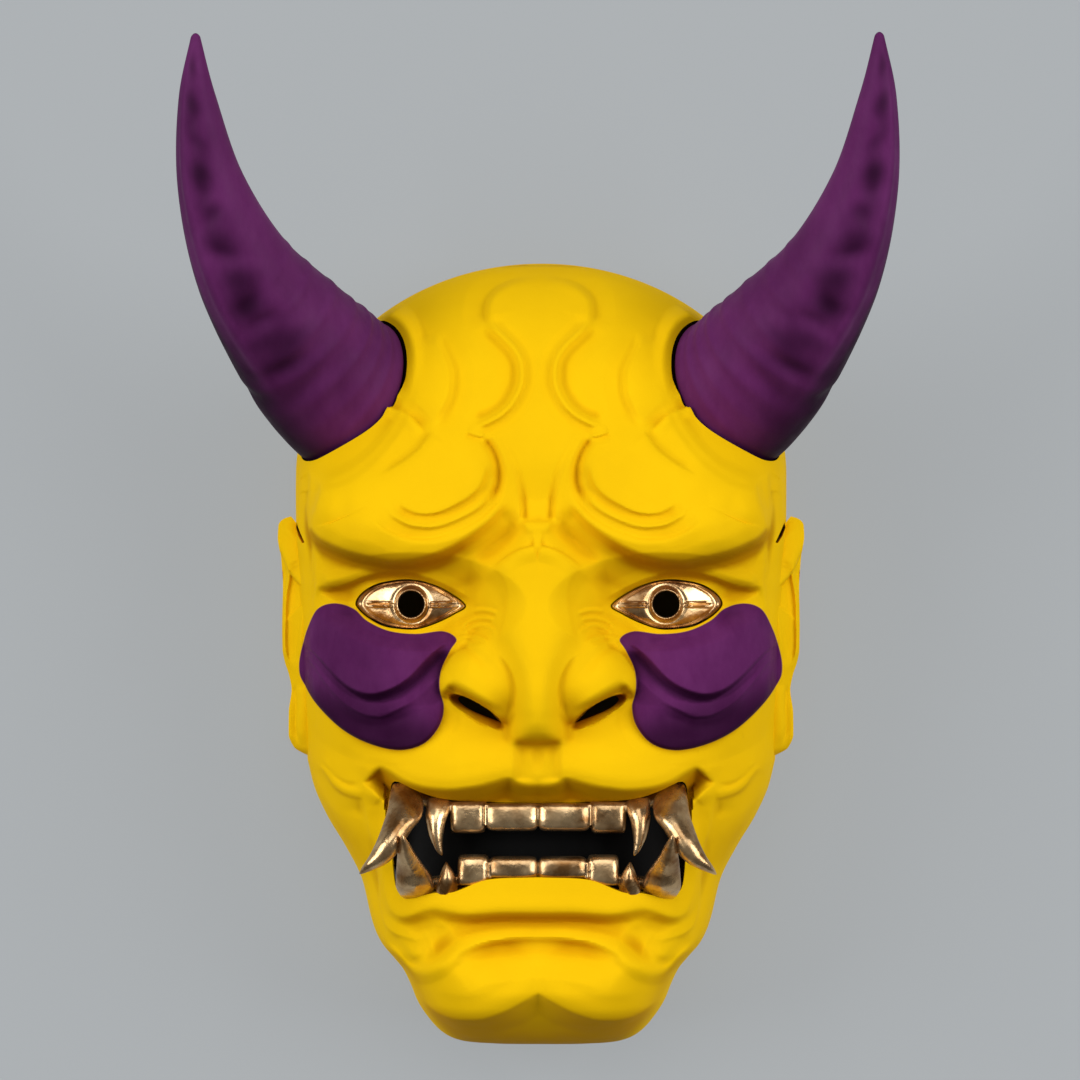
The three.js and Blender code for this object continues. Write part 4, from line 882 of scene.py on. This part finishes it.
LOWER_TEETH = {
    "ridge": -0.55,
    "blocks": [(0.1, 14.6, -95.6), (14.7, 24.3, -95.2)],
    "posts": [(14.6, -97.2)],
    "fangs": [
        [(27.8, -107.2, 84.5, 3.2, 2.6), (27.5, -105.4, 85.4, 3.3, 2.8), (27.3, -103, 86.4, 2.9, 2.8),
         (27.3, -100.8, 87, 2.2, 2.4), (27.5, -98.8, 87.4, 1.25, 1.6), (27.6, -97, 87.4, 0.2, 0.2)],
        [(38, -109.2, 77.5, 2.6, 1.8), (37.3, -107.6, 81.2, 4.7, 3), (37.1, -104.6, 85, 5.9, 4.4),
         (37.5, -101, 87, 5.3, 4.7), (38.4, -97.8, 90.6, 4.1, 4.2), (39.2, -94.6, 94, 2.9, 3.2),
         (39.8, -91.1, 97.6, 1.7, 2.1), (40.3, -88, 100.4, 0.2, 0.2)],
    ],
}
TOOTH_ROOT_Z, TOOTH_FRONT_Z, TOOTH_DEEP, TOOTH_VOXEL = 85.0, 90.5, 7.0, 0.32
STRIP_BACK_Z, STRIP_HALF, STRIP_HIGH, STRIP_THICK = 79.35, 41, 2.2, 2.8

# A block from root to tip: share of its length, drop of its middle, share of its width and loss of half-depth
BLOCK_PROFILE = [(0, 0.4, 0.98, 0.5), (0.15, 0, 1, 0.1), (0.5, 0, 1, -0.1), (0.8, 0, 0.98, 0.2),
                 (0.94, 0.3, 0.92, 0.9), (1, 0.6, 0.78, 1.9)]


def tooth(side, path, sides=28, square=0.0):
    """a tooth along knots of (u, v, z, half-width across, half-depth)"""
    k = np.array(path, float)
    fine = curve(k[:, :3], count=10)
    at = np.linspace(0, len(k) - 1, len(fine))
    across, through = [flow(at, list(enumerate(k[:, column]))) for column in (3, 4)]
    a = np.linspace(0, 2 * np.pi, sides, endpoint=False)
    ca, sa = [np.sign(c) * np.abs(c) ** (2 / (2 + square)) for c in (np.cos(a), np.sin(a))]
    return sweep("tooth", [np.column_stack([side * (u + w * ca), np.full(sides, v), z + d * sa])
                           for (u, v, z), w, d in zip(fine, across, through)])


def block_path(start, end, tip, gum, way):
    """a broad tooth's knots, its root sunk a little in the gum"""
    m, h = (start + end) / 2, (end - start) / 2
    root, z = flow(m + 0.25 * h, gum), TOOTH_FRONT_Z - TOOTH_DEEP / 2 - arch(m)
    path = [[m, root * (1 - share) + tip * share, z - drop, h * width, TOOTH_DEEP / 2 - loss]
            for share, drop, width, loss in BLOCK_PROFILE]
    path[0][1] -= 0.1 * way
    return path


def make_teeth(row, gum, way):
    """a row of teeth on a root strip, grown together; way is -1 where they point down and 1 where up"""
    a = np.linspace(0, 2 * np.pi, 16, endpoint=False)
    rings = []
    for x in np.linspace(-STRIP_HALF, STRIP_HALF, 60):
        y, z = flow(abs(x), gum) + way * STRIP_HIGH, (STRIP_BACK_Z + TOOTH_ROOT_Z) / 2 - arch(x)
        ring = [np.full(16, x), y + STRIP_HIGH * np.cos(a), z + STRIP_THICK * np.sin(a)]
        rings.append(np.column_stack(ring))
    teeth = sweep("teeth", rings)
    for side in (-1, 1):
        for start, end, tip in row["blocks"]:
            combine(teeth, tooth(side, block_path(start, end, tip, gum, way), 36, 1.5), "UNION")
        for u, tip in row["posts"]:
            root = (u, flow(u, gum), 89.3 - arch(u), 0.55, 0.9)
            combine(teeth, tooth(side, [root, (u, tip, 89.5 - arch(u), 0.5, 0.9)], 16), "UNION")
        for fang in row["fangs"]:
            combine(teeth, tooth(side, fang, square=row["ridge"]), "UNION")
    grow = teeth.modifiers.new("grow", "REMESH")
    grow.mode = "VOXEL"
    grow.voxel_size = TOOTH_VOXEL * MM
    even = teeth.modifiers.new("even", "SMOOTH")
    even.factor, even.iterations = 0.5, 3
    apply_modifiers(teeth)
    return teeth


BACKING_HALF, BACKING_FRONT_Z, BACKING_BACK_Z = 43.3, 79, 76.4
BACKING_TOP = [(0, -80.1), (17, -79.8), (29, -78.6), (36, -76.5), (40.5, -74.5), (43.3, -73.8)]
BACKING_LOW = [(0, -101.3), (11.3, -101.6), (17.3, -102.5), (22.7, -104.8), (26.3, -106), (31, -106.2),
               (35.9, -107.4), (40.1, -108.4), (43.4, -105)]


def make_backing():
    """the bowed panel behind the teeth"""
    top, low = curve(BACKING_TOP, 1.0), curve(BACKING_LOW, 1.0)
    rings = []
    for x in np.linspace(-BACKING_HALF, BACKING_HALF, 61):
        y1, y0 = [np.interp(abs(x), edge[:, 0], edge[:, 1]) for edge in (top, low)]
        front, back = BACKING_FRONT_Z - arch(x), BACKING_BACK_Z - arch(x)
        rings.append([[x, y1, front], [x, y1, back], [x, y0, back], [x, y0, front]])
    return sweep("backing", rings)


def linear(*rgb):
    """scene-linear colour from 8-bit sRGB"""
    shares = [c / 255 for c in rgb]
    return [c / 12.92 if c <= 0.04045 else ((c + 0.055) / 1.055) ** 2.4 for c in shares] + [1.0]


class Look:
    """a material built node by node; a value is a number, a colour or another node's output"""

    def __init__(self, name, **settings):
        self.material = bpy.data.materials.new(name)
        self.material.use_nodes = True
        self.tree = self.material.node_tree
        self.tree.nodes.clear()
        self.shader = self.node("BsdfPrincipled")
        self.node("OutputMaterial", {"Surface": self.shader.outputs["BSDF"]})
        for key, value in settings.items():
            self.shader.inputs[key.replace("_", " ")].default_value = value

    def put(self, socket, value):
        if isinstance(value, bpy.types.NodeSocket):
            self.tree.links.new(value, socket)
        else:
            socket.default_value = value

    def node(self, kind, inputs=(), **settings):
        n = self.tree.nodes.new("ShaderNode" + kind)
        for key, value in settings.items():
            setattr(n, key, value)
        for key, value in dict(inputs).items():
            self.put(n.inputs[key], value)
        return n

    def feed(self, name, value):
        self.put(self.shader.inputs[name], value)

    def attribute(self, name):
        return self.node("Attribute", attribute_name=name).outputs["Fac"]

    def where(self):
        return self.node("TexCoord").outputs["Object"]

    def stretch(self, scale, rotation=(0, 0, 0)):
        n = self.node("Mapping", {"Vector": self.where(), "Scale": scale, "Rotation": rotation})
        return n.outputs["Vector"]

    def noise(self, scale, detail=3.0, rough=0.5, vector=None):
        n = self.node("TexNoise", {"Vector": vector or self.where(), "Scale": scale, "Detail": detail,
                                   "Roughness": rough})
        return n.outputs["Fac"]

    def remap(self, value, low, high, to_low=0.0, to_high=1.0, kind="LINEAR"):
        n = self.node("MapRange", {"Value": value, "From Min": low, "From Max": high, "To Min": to_low,
                                   "To Max": to_high}, interpolation_type=kind)
        return n.outputs["Result"]

    def mix(self, share, a, b):
        return self.node("Mix", {"Factor": share, 6: a, 7: b}, data_type="RGBA").outputs[2]

    def math(self, operation, a, b=0.0):
        return self.node("Math", {0: a, 1: b}, operation=operation).outputs["Value"]

    def vector(self, operation, a, b=(0, 0, 0), out="Vector"):
        return self.node("VectorMath", {0: a, 1: b}, operation=operation).outputs[out]

    def bump(self, height, distance_mm):
        n = self.node("Bump", {"Height": height, "Distance": distance_mm * MM, "Strength": 0.5})
        self.feed("Normal", n.outputs["Normal"])


# The deep yellow and deep purple give the paint its random mottling and also its painted shade in crevices
# and undersides. The pit black is painted shade in the nostril pits and horn pockets. The deep gilt is
# painted shade on the teeth and darkens the eyes' proud edges.
YELLOW, YELLOW_MOTTLE_AND_SHADE, PIT_SHADE_BLACK = linear(239, 191, 11), linear(172, 106, 1), linear(14, 7, 2)
PURPLE, PURPLE_MOTTLE_AND_SHADE, PURPLE_WORN = linear(86, 31, 81), linear(28, 7, 26), linear(112, 52, 107)
GILT, GILT_WORN, GILT_SHADE_AND_DARK_EDGE = linear(238, 204, 154), linear(140, 99, 56), linear(40, 22, 10)
# The floor glows in the glow colour beyond an ellipse round the mask: painted light.
FLOOR_DARK, FLOOR_PALE, FLOOR_GLOW = linear(92, 95, 97), linear(94, 97, 99), linear(174, 178, 181)
GLOW_WIDE, GLOW_LONG, GLOW_Y = 0.066, 0.112, -0.0316


def purple_parts(look, worn_scale=140):
    """satin purple with a brushed, slightly worn tone"""
    brushed = look.noise(worn_scale, 5, 0.65, look.stretch((1, 0.5, 0.6), (0, 0, 0.9)))
    tone = look.mix(look.remap(brushed, 0.3, 0.75, 0.05, 0.5), PURPLE, PURPLE_WORN)
    return look.mix(look.remap(look.noise(30), 0.42, 0.65, 0, 0.25), tone, PURPLE_MOTTLE_AND_SHADE)


def horn_pocket(look):
    """1 inside the round pockets that hold the horns' feet, 0 elsewhere"""
    axis, _, _, centre = horn_seat(1)
    apart = look.node("SeparateXYZ", {"Vector": look.where()}).outputs
    both = look.node("CombineXYZ", {"X": look.math("ABSOLUTE", apart["X"]), "Y": apart["Y"], "Z": apart["Z"]})
    middle = [centre[0] * MM, (centre[1] + FACE_LEVEL_Y) * MM, centre[2] * MM]
    away = look.vector("SUBTRACT", both.outputs["Vector"], middle)
    from_axis = look.vector("LENGTH", look.vector("CROSS_PRODUCT", away, list(axis)), out="Value")
    return look.math("LESS_THAN", from_axis, (HORN_FOOT + 2 * GAP + 0.04) * MM)


def paint_look():
    """yellow paint with purple cheeks, darkened by painted shade in the crevices and undersides, and painted
    black as shade in the nostril pits and horn pockets
    """
    look = Look("painted_face", Roughness=0.6, Specular_IOR_Level=0.004)
    cheek = look.remap(look.attribute("cheek"), 0.46, 0.54, 0, 1, "SMOOTHSTEP")
    painted_shade_and_tone = look.attribute("painted_shade_and_tone")
    mottled = look.noise(35, 4, 0.55)
    yellow = look.mix(look.remap(mottled, 0.3, 0.7, 0, 0.1), YELLOW, YELLOW_MOTTLE_AND_SHADE)
    # painted shade: the yellow deepens towards brown in the crevices and on the undersides
    yellow = look.mix(look.remap(painted_shade_and_tone, 0.08, 1.0, 0, 0.72), yellow, YELLOW_MOTTLE_AND_SHADE)
    # painted shade: the purple cheeks darken in their crevices and towards the bottom of the pad
    purple = look.mix(look.remap(painted_shade_and_tone, 0.05, 0.9, 0, 0.8), purple_parts(look), PURPLE_MOTTLE_AND_SHADE)
    tone = look.mix(cheek, yellow, purple)
    # painted shade: the nostril pits and the horn pockets are painted black
    pit_shade = look.math("MAXIMUM", look.remap(painted_shade_and_tone, 1.0, 1.8), horn_pocket(look))
    look.feed("Base Color", look.mix(pit_shade, tone, PIT_SHADE_BLACK))
    uneven = look.remap(look.noise(260), 0.3, 0.7, 0.44, 0.56)
    look.feed("Roughness", look.math("SUBTRACT", uneven, look.math("MULTIPLY", cheek, 0.08)))
    look.bump(look.math("ADD", look.noise(900, 4, 0.6), look.math("MULTIPLY", look.noise(60), 2.0)), 0.05)
    return look.material


def purple_look():
    """the horns' purple, darker where it is marked with painted shade and mottling"""
    look = Look("painted_horn", Roughness=0.5, Specular_IOR_Level=0.03)
    deep = look.remap(look.attribute("painted_shade_and_tone"), 0.1, 0.9, 0, 0.92, "SMOOTHSTEP")
    # painted shade: the horns darken in their valley, dents and outer side
    look.feed("Base Color", look.mix(deep, purple_parts(look, 110), PURPLE_MOTTLE_AND_SHADE))
    look.feed("Roughness", look.remap(look.noise(200), 0.3, 0.7, 0.42, 0.56))
    look.bump(look.noise(420, 4, 0.6, look.stretch((1, 0.25, 1), (0, 0, 0.8))), 0.144)
    return look.material


def gilt_look():
    """worn gilding, dark where it is marked: painted shade on the teeth, and darker proud edges on the eyes
    """
    look = Look("gilt_metal", Metallic=0.94, Roughness=0.25)
    tone = look.mix(look.remap(look.noise(90, 4, 0.6), 0.35, 0.65), GILT, GILT_WORN)
    # painted shade between and over the teeth; darker proud edges and ridges on the eyes
    look.feed("Base Color", look.mix(look.remap(look.attribute("painted_shade_and_tone"), 0.1, 0.9, 0, 0.9), tone, GILT_SHADE_AND_DARK_EDGE))
    look.feed("Roughness", look.remap(look.noise(160), 0.3, 0.7, 0.21, 0.36))
    look.bump(look.math("ADD", look.noise(230), look.math("MULTIPLY", look.noise(700), 0.3)), 0.5)
    return look.material


def black_look():
    """the black of the mouth, with a faint sheen"""
    look = Look("black_lining", Roughness=0.6, Specular_IOR_Level=0.06)
    streak = look.noise(60, 3, 0.5, look.stretch((1, 0.12, 1)))
    look.feed("Base Color", look.mix(look.remap(streak, 0.4, 0.7), linear(3, 3, 3), linear(9, 9, 9)))
    look.feed("Roughness", look.remap(streak, 0.3, 0.7, 0.4, 0.62))
    look.bump(look.noise(500), 0.05)
    return look.material


def floor_look():
    """a pale floor that glows beyond an ellipse round the mask, painted light that washes out the mask's
    shadow on it except close to the mask
    """
    look = Look("pale_floor", Roughness=0.9, Specular_IOR_Level=0.1, Emission_Color=FLOOR_GLOW)
    spot = look.vector("MULTIPLY", look.where(), (1 / GLOW_WIDE, 1 / GLOW_LONG, 0))
    from_mask = look.vector("DISTANCE", spot, (0, GLOW_Y / GLOW_LONG, 0), "Value")
    # painted light: the floor glows beyond an ellipse round the mask
    look.feed("Emission Strength", look.remap(from_mask, 0.95, 1.0, 0, 0.7))
    look.feed("Base Color", look.mix(look.remap(look.noise(3, 2), 0.3, 0.7), FLOOR_DARK, FLOOR_PALE))
    return look.material


def hollows(obj, reach_mm, strength, least=0.0):
    """marks how far each point lies in a crevice, for painted shade there: least on open ground, 1 deep
    inside;
    a strength below 0 marks the ridges instead"""
    p, normal = mesh_points(obj), mesh_vectors(obj, "normal")
    n = len(p)
    edges = np.empty(len(obj.data.edges) * 2, int)
    obj.data.edges.foreach_get("vertices", edges)
    a, b = edges.reshape(-1, 2).T
    count = np.bincount(a, minlength=n) + np.bincount(b, minlength=n)
    length = np.linalg.norm(p[a] - p[b], axis=1).mean()
    rounds = max(2, int((reach_mm / length) ** 2))
    q = p.copy()
    for _ in range(min(rounds, 60)):
        total = np.column_stack([np.bincount(a, q[b, i], n) + np.bincount(b, q[a, i], n) for i in range(3)])
        q = 0.5 * q + 0.5 * total / np.maximum(count, 1)[:, None]
    deep = np.einsum("ij,ij->i", q - p, normal)
    set_attribute(obj, "painted_shade_and_tone", np.clip(least + deep * strength, 0, 1))


def blurred(a, cells):
    """box blur of a height map"""
    width = 2 * cells + 1
    for axis in (0, 1):
        pad = [(0, 0), (0, 0)]
        pad[axis] = (cells + 1, cells)
        c = np.cumsum(np.pad(a, pad, "edge"), axis)
        n = c.shape[axis]
        a = (np.take(c, range(width, n), axis) - np.take(c, range(n - width), axis)) / width
    return a


SHADE_STEP, SHADE_REACH, SHADE_LOW, SHADE_HIGH = 0.7, 92, -170, 100

# The reach of a blur in steps and the strength of the shade it gives
SHADE_BLURS = [(2, 0.3), (4, 0.26), (9, 0.085), (18, 0.015)]


def shade_map():
    """painted shade on half the face: in crevices, on undersides and steep falls, less on the nose"""
    u, v = np.meshgrid(np.arange(0, SHADE_REACH, SHADE_STEP), np.arange(SHADE_LOW, SHADE_HIGH, SHADE_STEP))
    height = face_height(u, v)
    down = np.gradient(height, SHADE_STEP)[0]
    deep = sum(strength * (blurred(height, cells) - height) for cells, strength in SHADE_BLURS)
    # painted shade on the undersides that face down, away from the light
    under = 0.4 * smooth((down - 0.35) / 1.6) + 0.4 * smooth((down - 1.2) / 1.5)
    painted_shade = np.clip(np.clip(deep, 0, 1) + under, 0, 1)
    for less, *place in ((0.65, 18, -27, 11, 11), (0.6, 13, 3, 11, 11), (0.45, 0, -58, 9, 6)):
        painted_shade = painted_shade * (1 - less * blob(u, v, *place, power=0.7))
    return painted_shade


def shade_face(obj):
    """marks the painted cheeks, and the painted shade in the crevices and undersides, at the bottom of the
    cheek pads and in the nostril pits
    """
    spots = mesh_points(obj)
    u, v, z = np.abs(spots[:, 0]), spots[:, 1], spots[:, 2]
    edge = Near(CHEEK, u, v, 4, True)
    inside = np.clip(edge.put(edge.d + 3) - 3, -2.5, 2.5)
    set_attribute(obj, "cheek", np.where(z > 36, 0.5 + inside / 5, 0))
    painted_shade = shade_map()
    x, y = u / SHADE_STEP, (v - SHADE_LOW) / SHADE_STEP
    i, j = np.clip(x.astype(int), 0, painted_shade.shape[1] - 2), np.clip(y.astype(int), 0, painted_shade.shape[0] - 2)
    s, t = np.clip(x - i, 0, 1), np.clip(y - j, 0, 1)
    low = painted_shade[j, i] * (1 - s) + painted_shade[j, i + 1] * s
    high = painted_shade[j + 1, i] * (1 - s) + painted_shade[j + 1, i + 1] * s
    got = (low * (1 - t) + high * t) * smooth((half_width(v) - u) / 7)
    pad = Near(CHEEK, u, v, 30, True)
    # painted shade: the cheek pad darkens towards its bottom
    low_cheek_shade = smooth((-44 - v + 0.25 * (u - 50)) / 13) * pad.put(smooth(pad.d / 0.5 + 0.5))
    got = np.maximum(got, 0.85 * low_cheek_shade)
    # painted shade: the walls deep in the nostrils are painted black
    nostril = np.hypot(u - 17, v + 51.5) < 10
    got = np.where(nostril & (z < base(u, v) - 16), 1.9, got)
    set_attribute(obj, "painted_shade_and_tone", np.where((z > WIDEST_Z + 2) | nostril, got, 0))


def finish_piece(obj, name, look, node):
    """names a piece and says what it is made of and which part of the frame it stands for"""
    obj.name = obj.data.name = name
    obj.data.materials.clear()
    obj.data.materials.append(look)
    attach(obj, "root")
    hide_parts(node)


def add_floor():
    mesh = bpy.data.meshes.new("floor")
    mesh.from_pydata([(-4, -4, 0), (4, -4, 0), (4, 4, 0), (-4, 4, 0)], [], [(0, 1, 2, 3)])
    mesh.materials.append(floor_look())
    floor = bpy.data.objects.new("floor", mesh)
    bpy.context.collection.objects.link(floor)


def add_camera(at, aim):
    """a long lens above the mask, the top of its picture towards y"""
    data = bpy.data.cameras.new("camera")
    data.sensor_width = 36
    data.lens = 155.6
    data.clip_start, data.clip_end = 0.1, 20
    camera = bpy.data.objects.new("camera", data)
    back = (Vector(at) - Vector(aim)).normalized()
    right = Vector((0, 1, 0)).cross(back).normalized()
    axes = Matrix((right, back.cross(right), back)).transposed()
    camera.matrix_world = Matrix.Translation(at) @ axes.to_4x4()
    bpy.context.collection.objects.link(camera)
    bpy.context.scene.camera = camera


def soft_sun(name, towards, degrees, strength):
    data = bpy.data.lights.new(name, "SUN")
    data.angle = math.radians(degrees)
    data.energy = strength
    light = bpy.data.objects.new(name, data)
    light.rotation_euler = Vector(towards).to_track_quat("Z", "Y").to_euler()
    bpy.context.collection.objects.link(light)


def add_world(strength):
    world = bpy.data.worlds.new("studio")
    world.use_nodes = True
    background = world.node_tree.nodes["Background"]
    background.inputs["Color"].default_value = (1, 1, 1, 1)
    background.inputs["Strength"].default_value = strength
    bpy.context.scene.world = world
    bpy.context.scene.view_settings.view_transform = "Standard"
    bpy.context.scene.view_settings.look = "None"


paint, purple, gilt, black = paint_look(), purple_look(), gilt_look(), black_look()

face = cut_face(shell_mesh())
soften(face, 38)
shade_face(face)
finish_piece(face, "mask_face", paint, "face_shell")
for side, hand in ((-1, "left"), (1, "right")):
    horn = make_horn(side)
    soften(horn, 50)
    finish_piece(horn, "mask_horn_" + hand, purple, "horn_" + hand)
    eye = make_eye(side)
    soften(eye, 50)
    # darkens the eye's proud edges and ridges
    hollows(eye, 0.8, -3)
    finish_piece(eye, "mask_eye_" + hand, gilt, "eye_" + hand)
for name, row, gum, way in (("upper_teeth", UPPER_TEETH, UPPER_GUM, -1),
                            ("lower_teeth", LOWER_TEETH, LOWER_GUM, 1)):
    teeth = make_teeth(row, gum, way)
    soften(teeth, 60)
    # painted shade in the gaps between the teeth, and a little over all of them for the shade of the lips
    hollows(teeth, 1.2, 2, 0.22)
    finish_piece(teeth, "mask_" + name, gilt, name)
backing = make_backing()
soften(backing, 40)
finish_piece(backing, "mask_mouth_backing", black, "mouth_backing")

add_floor()
add_camera((0.0245, 0.003, 1.49), (0.0006, 0.003, 0.09))
soft_sun("top_box", (0, 0.6, 0.8), 50, 1.15)
soft_sun("left_box", (-0.8, 0.15, 0.6), 42, 1.88)
soft_sun("right_box", (0.8, 0.15, 0.6), 42, 1.88)
soft_sun("front_fill", (0, 0, 1), 90, 0.06)
add_world(0.09)
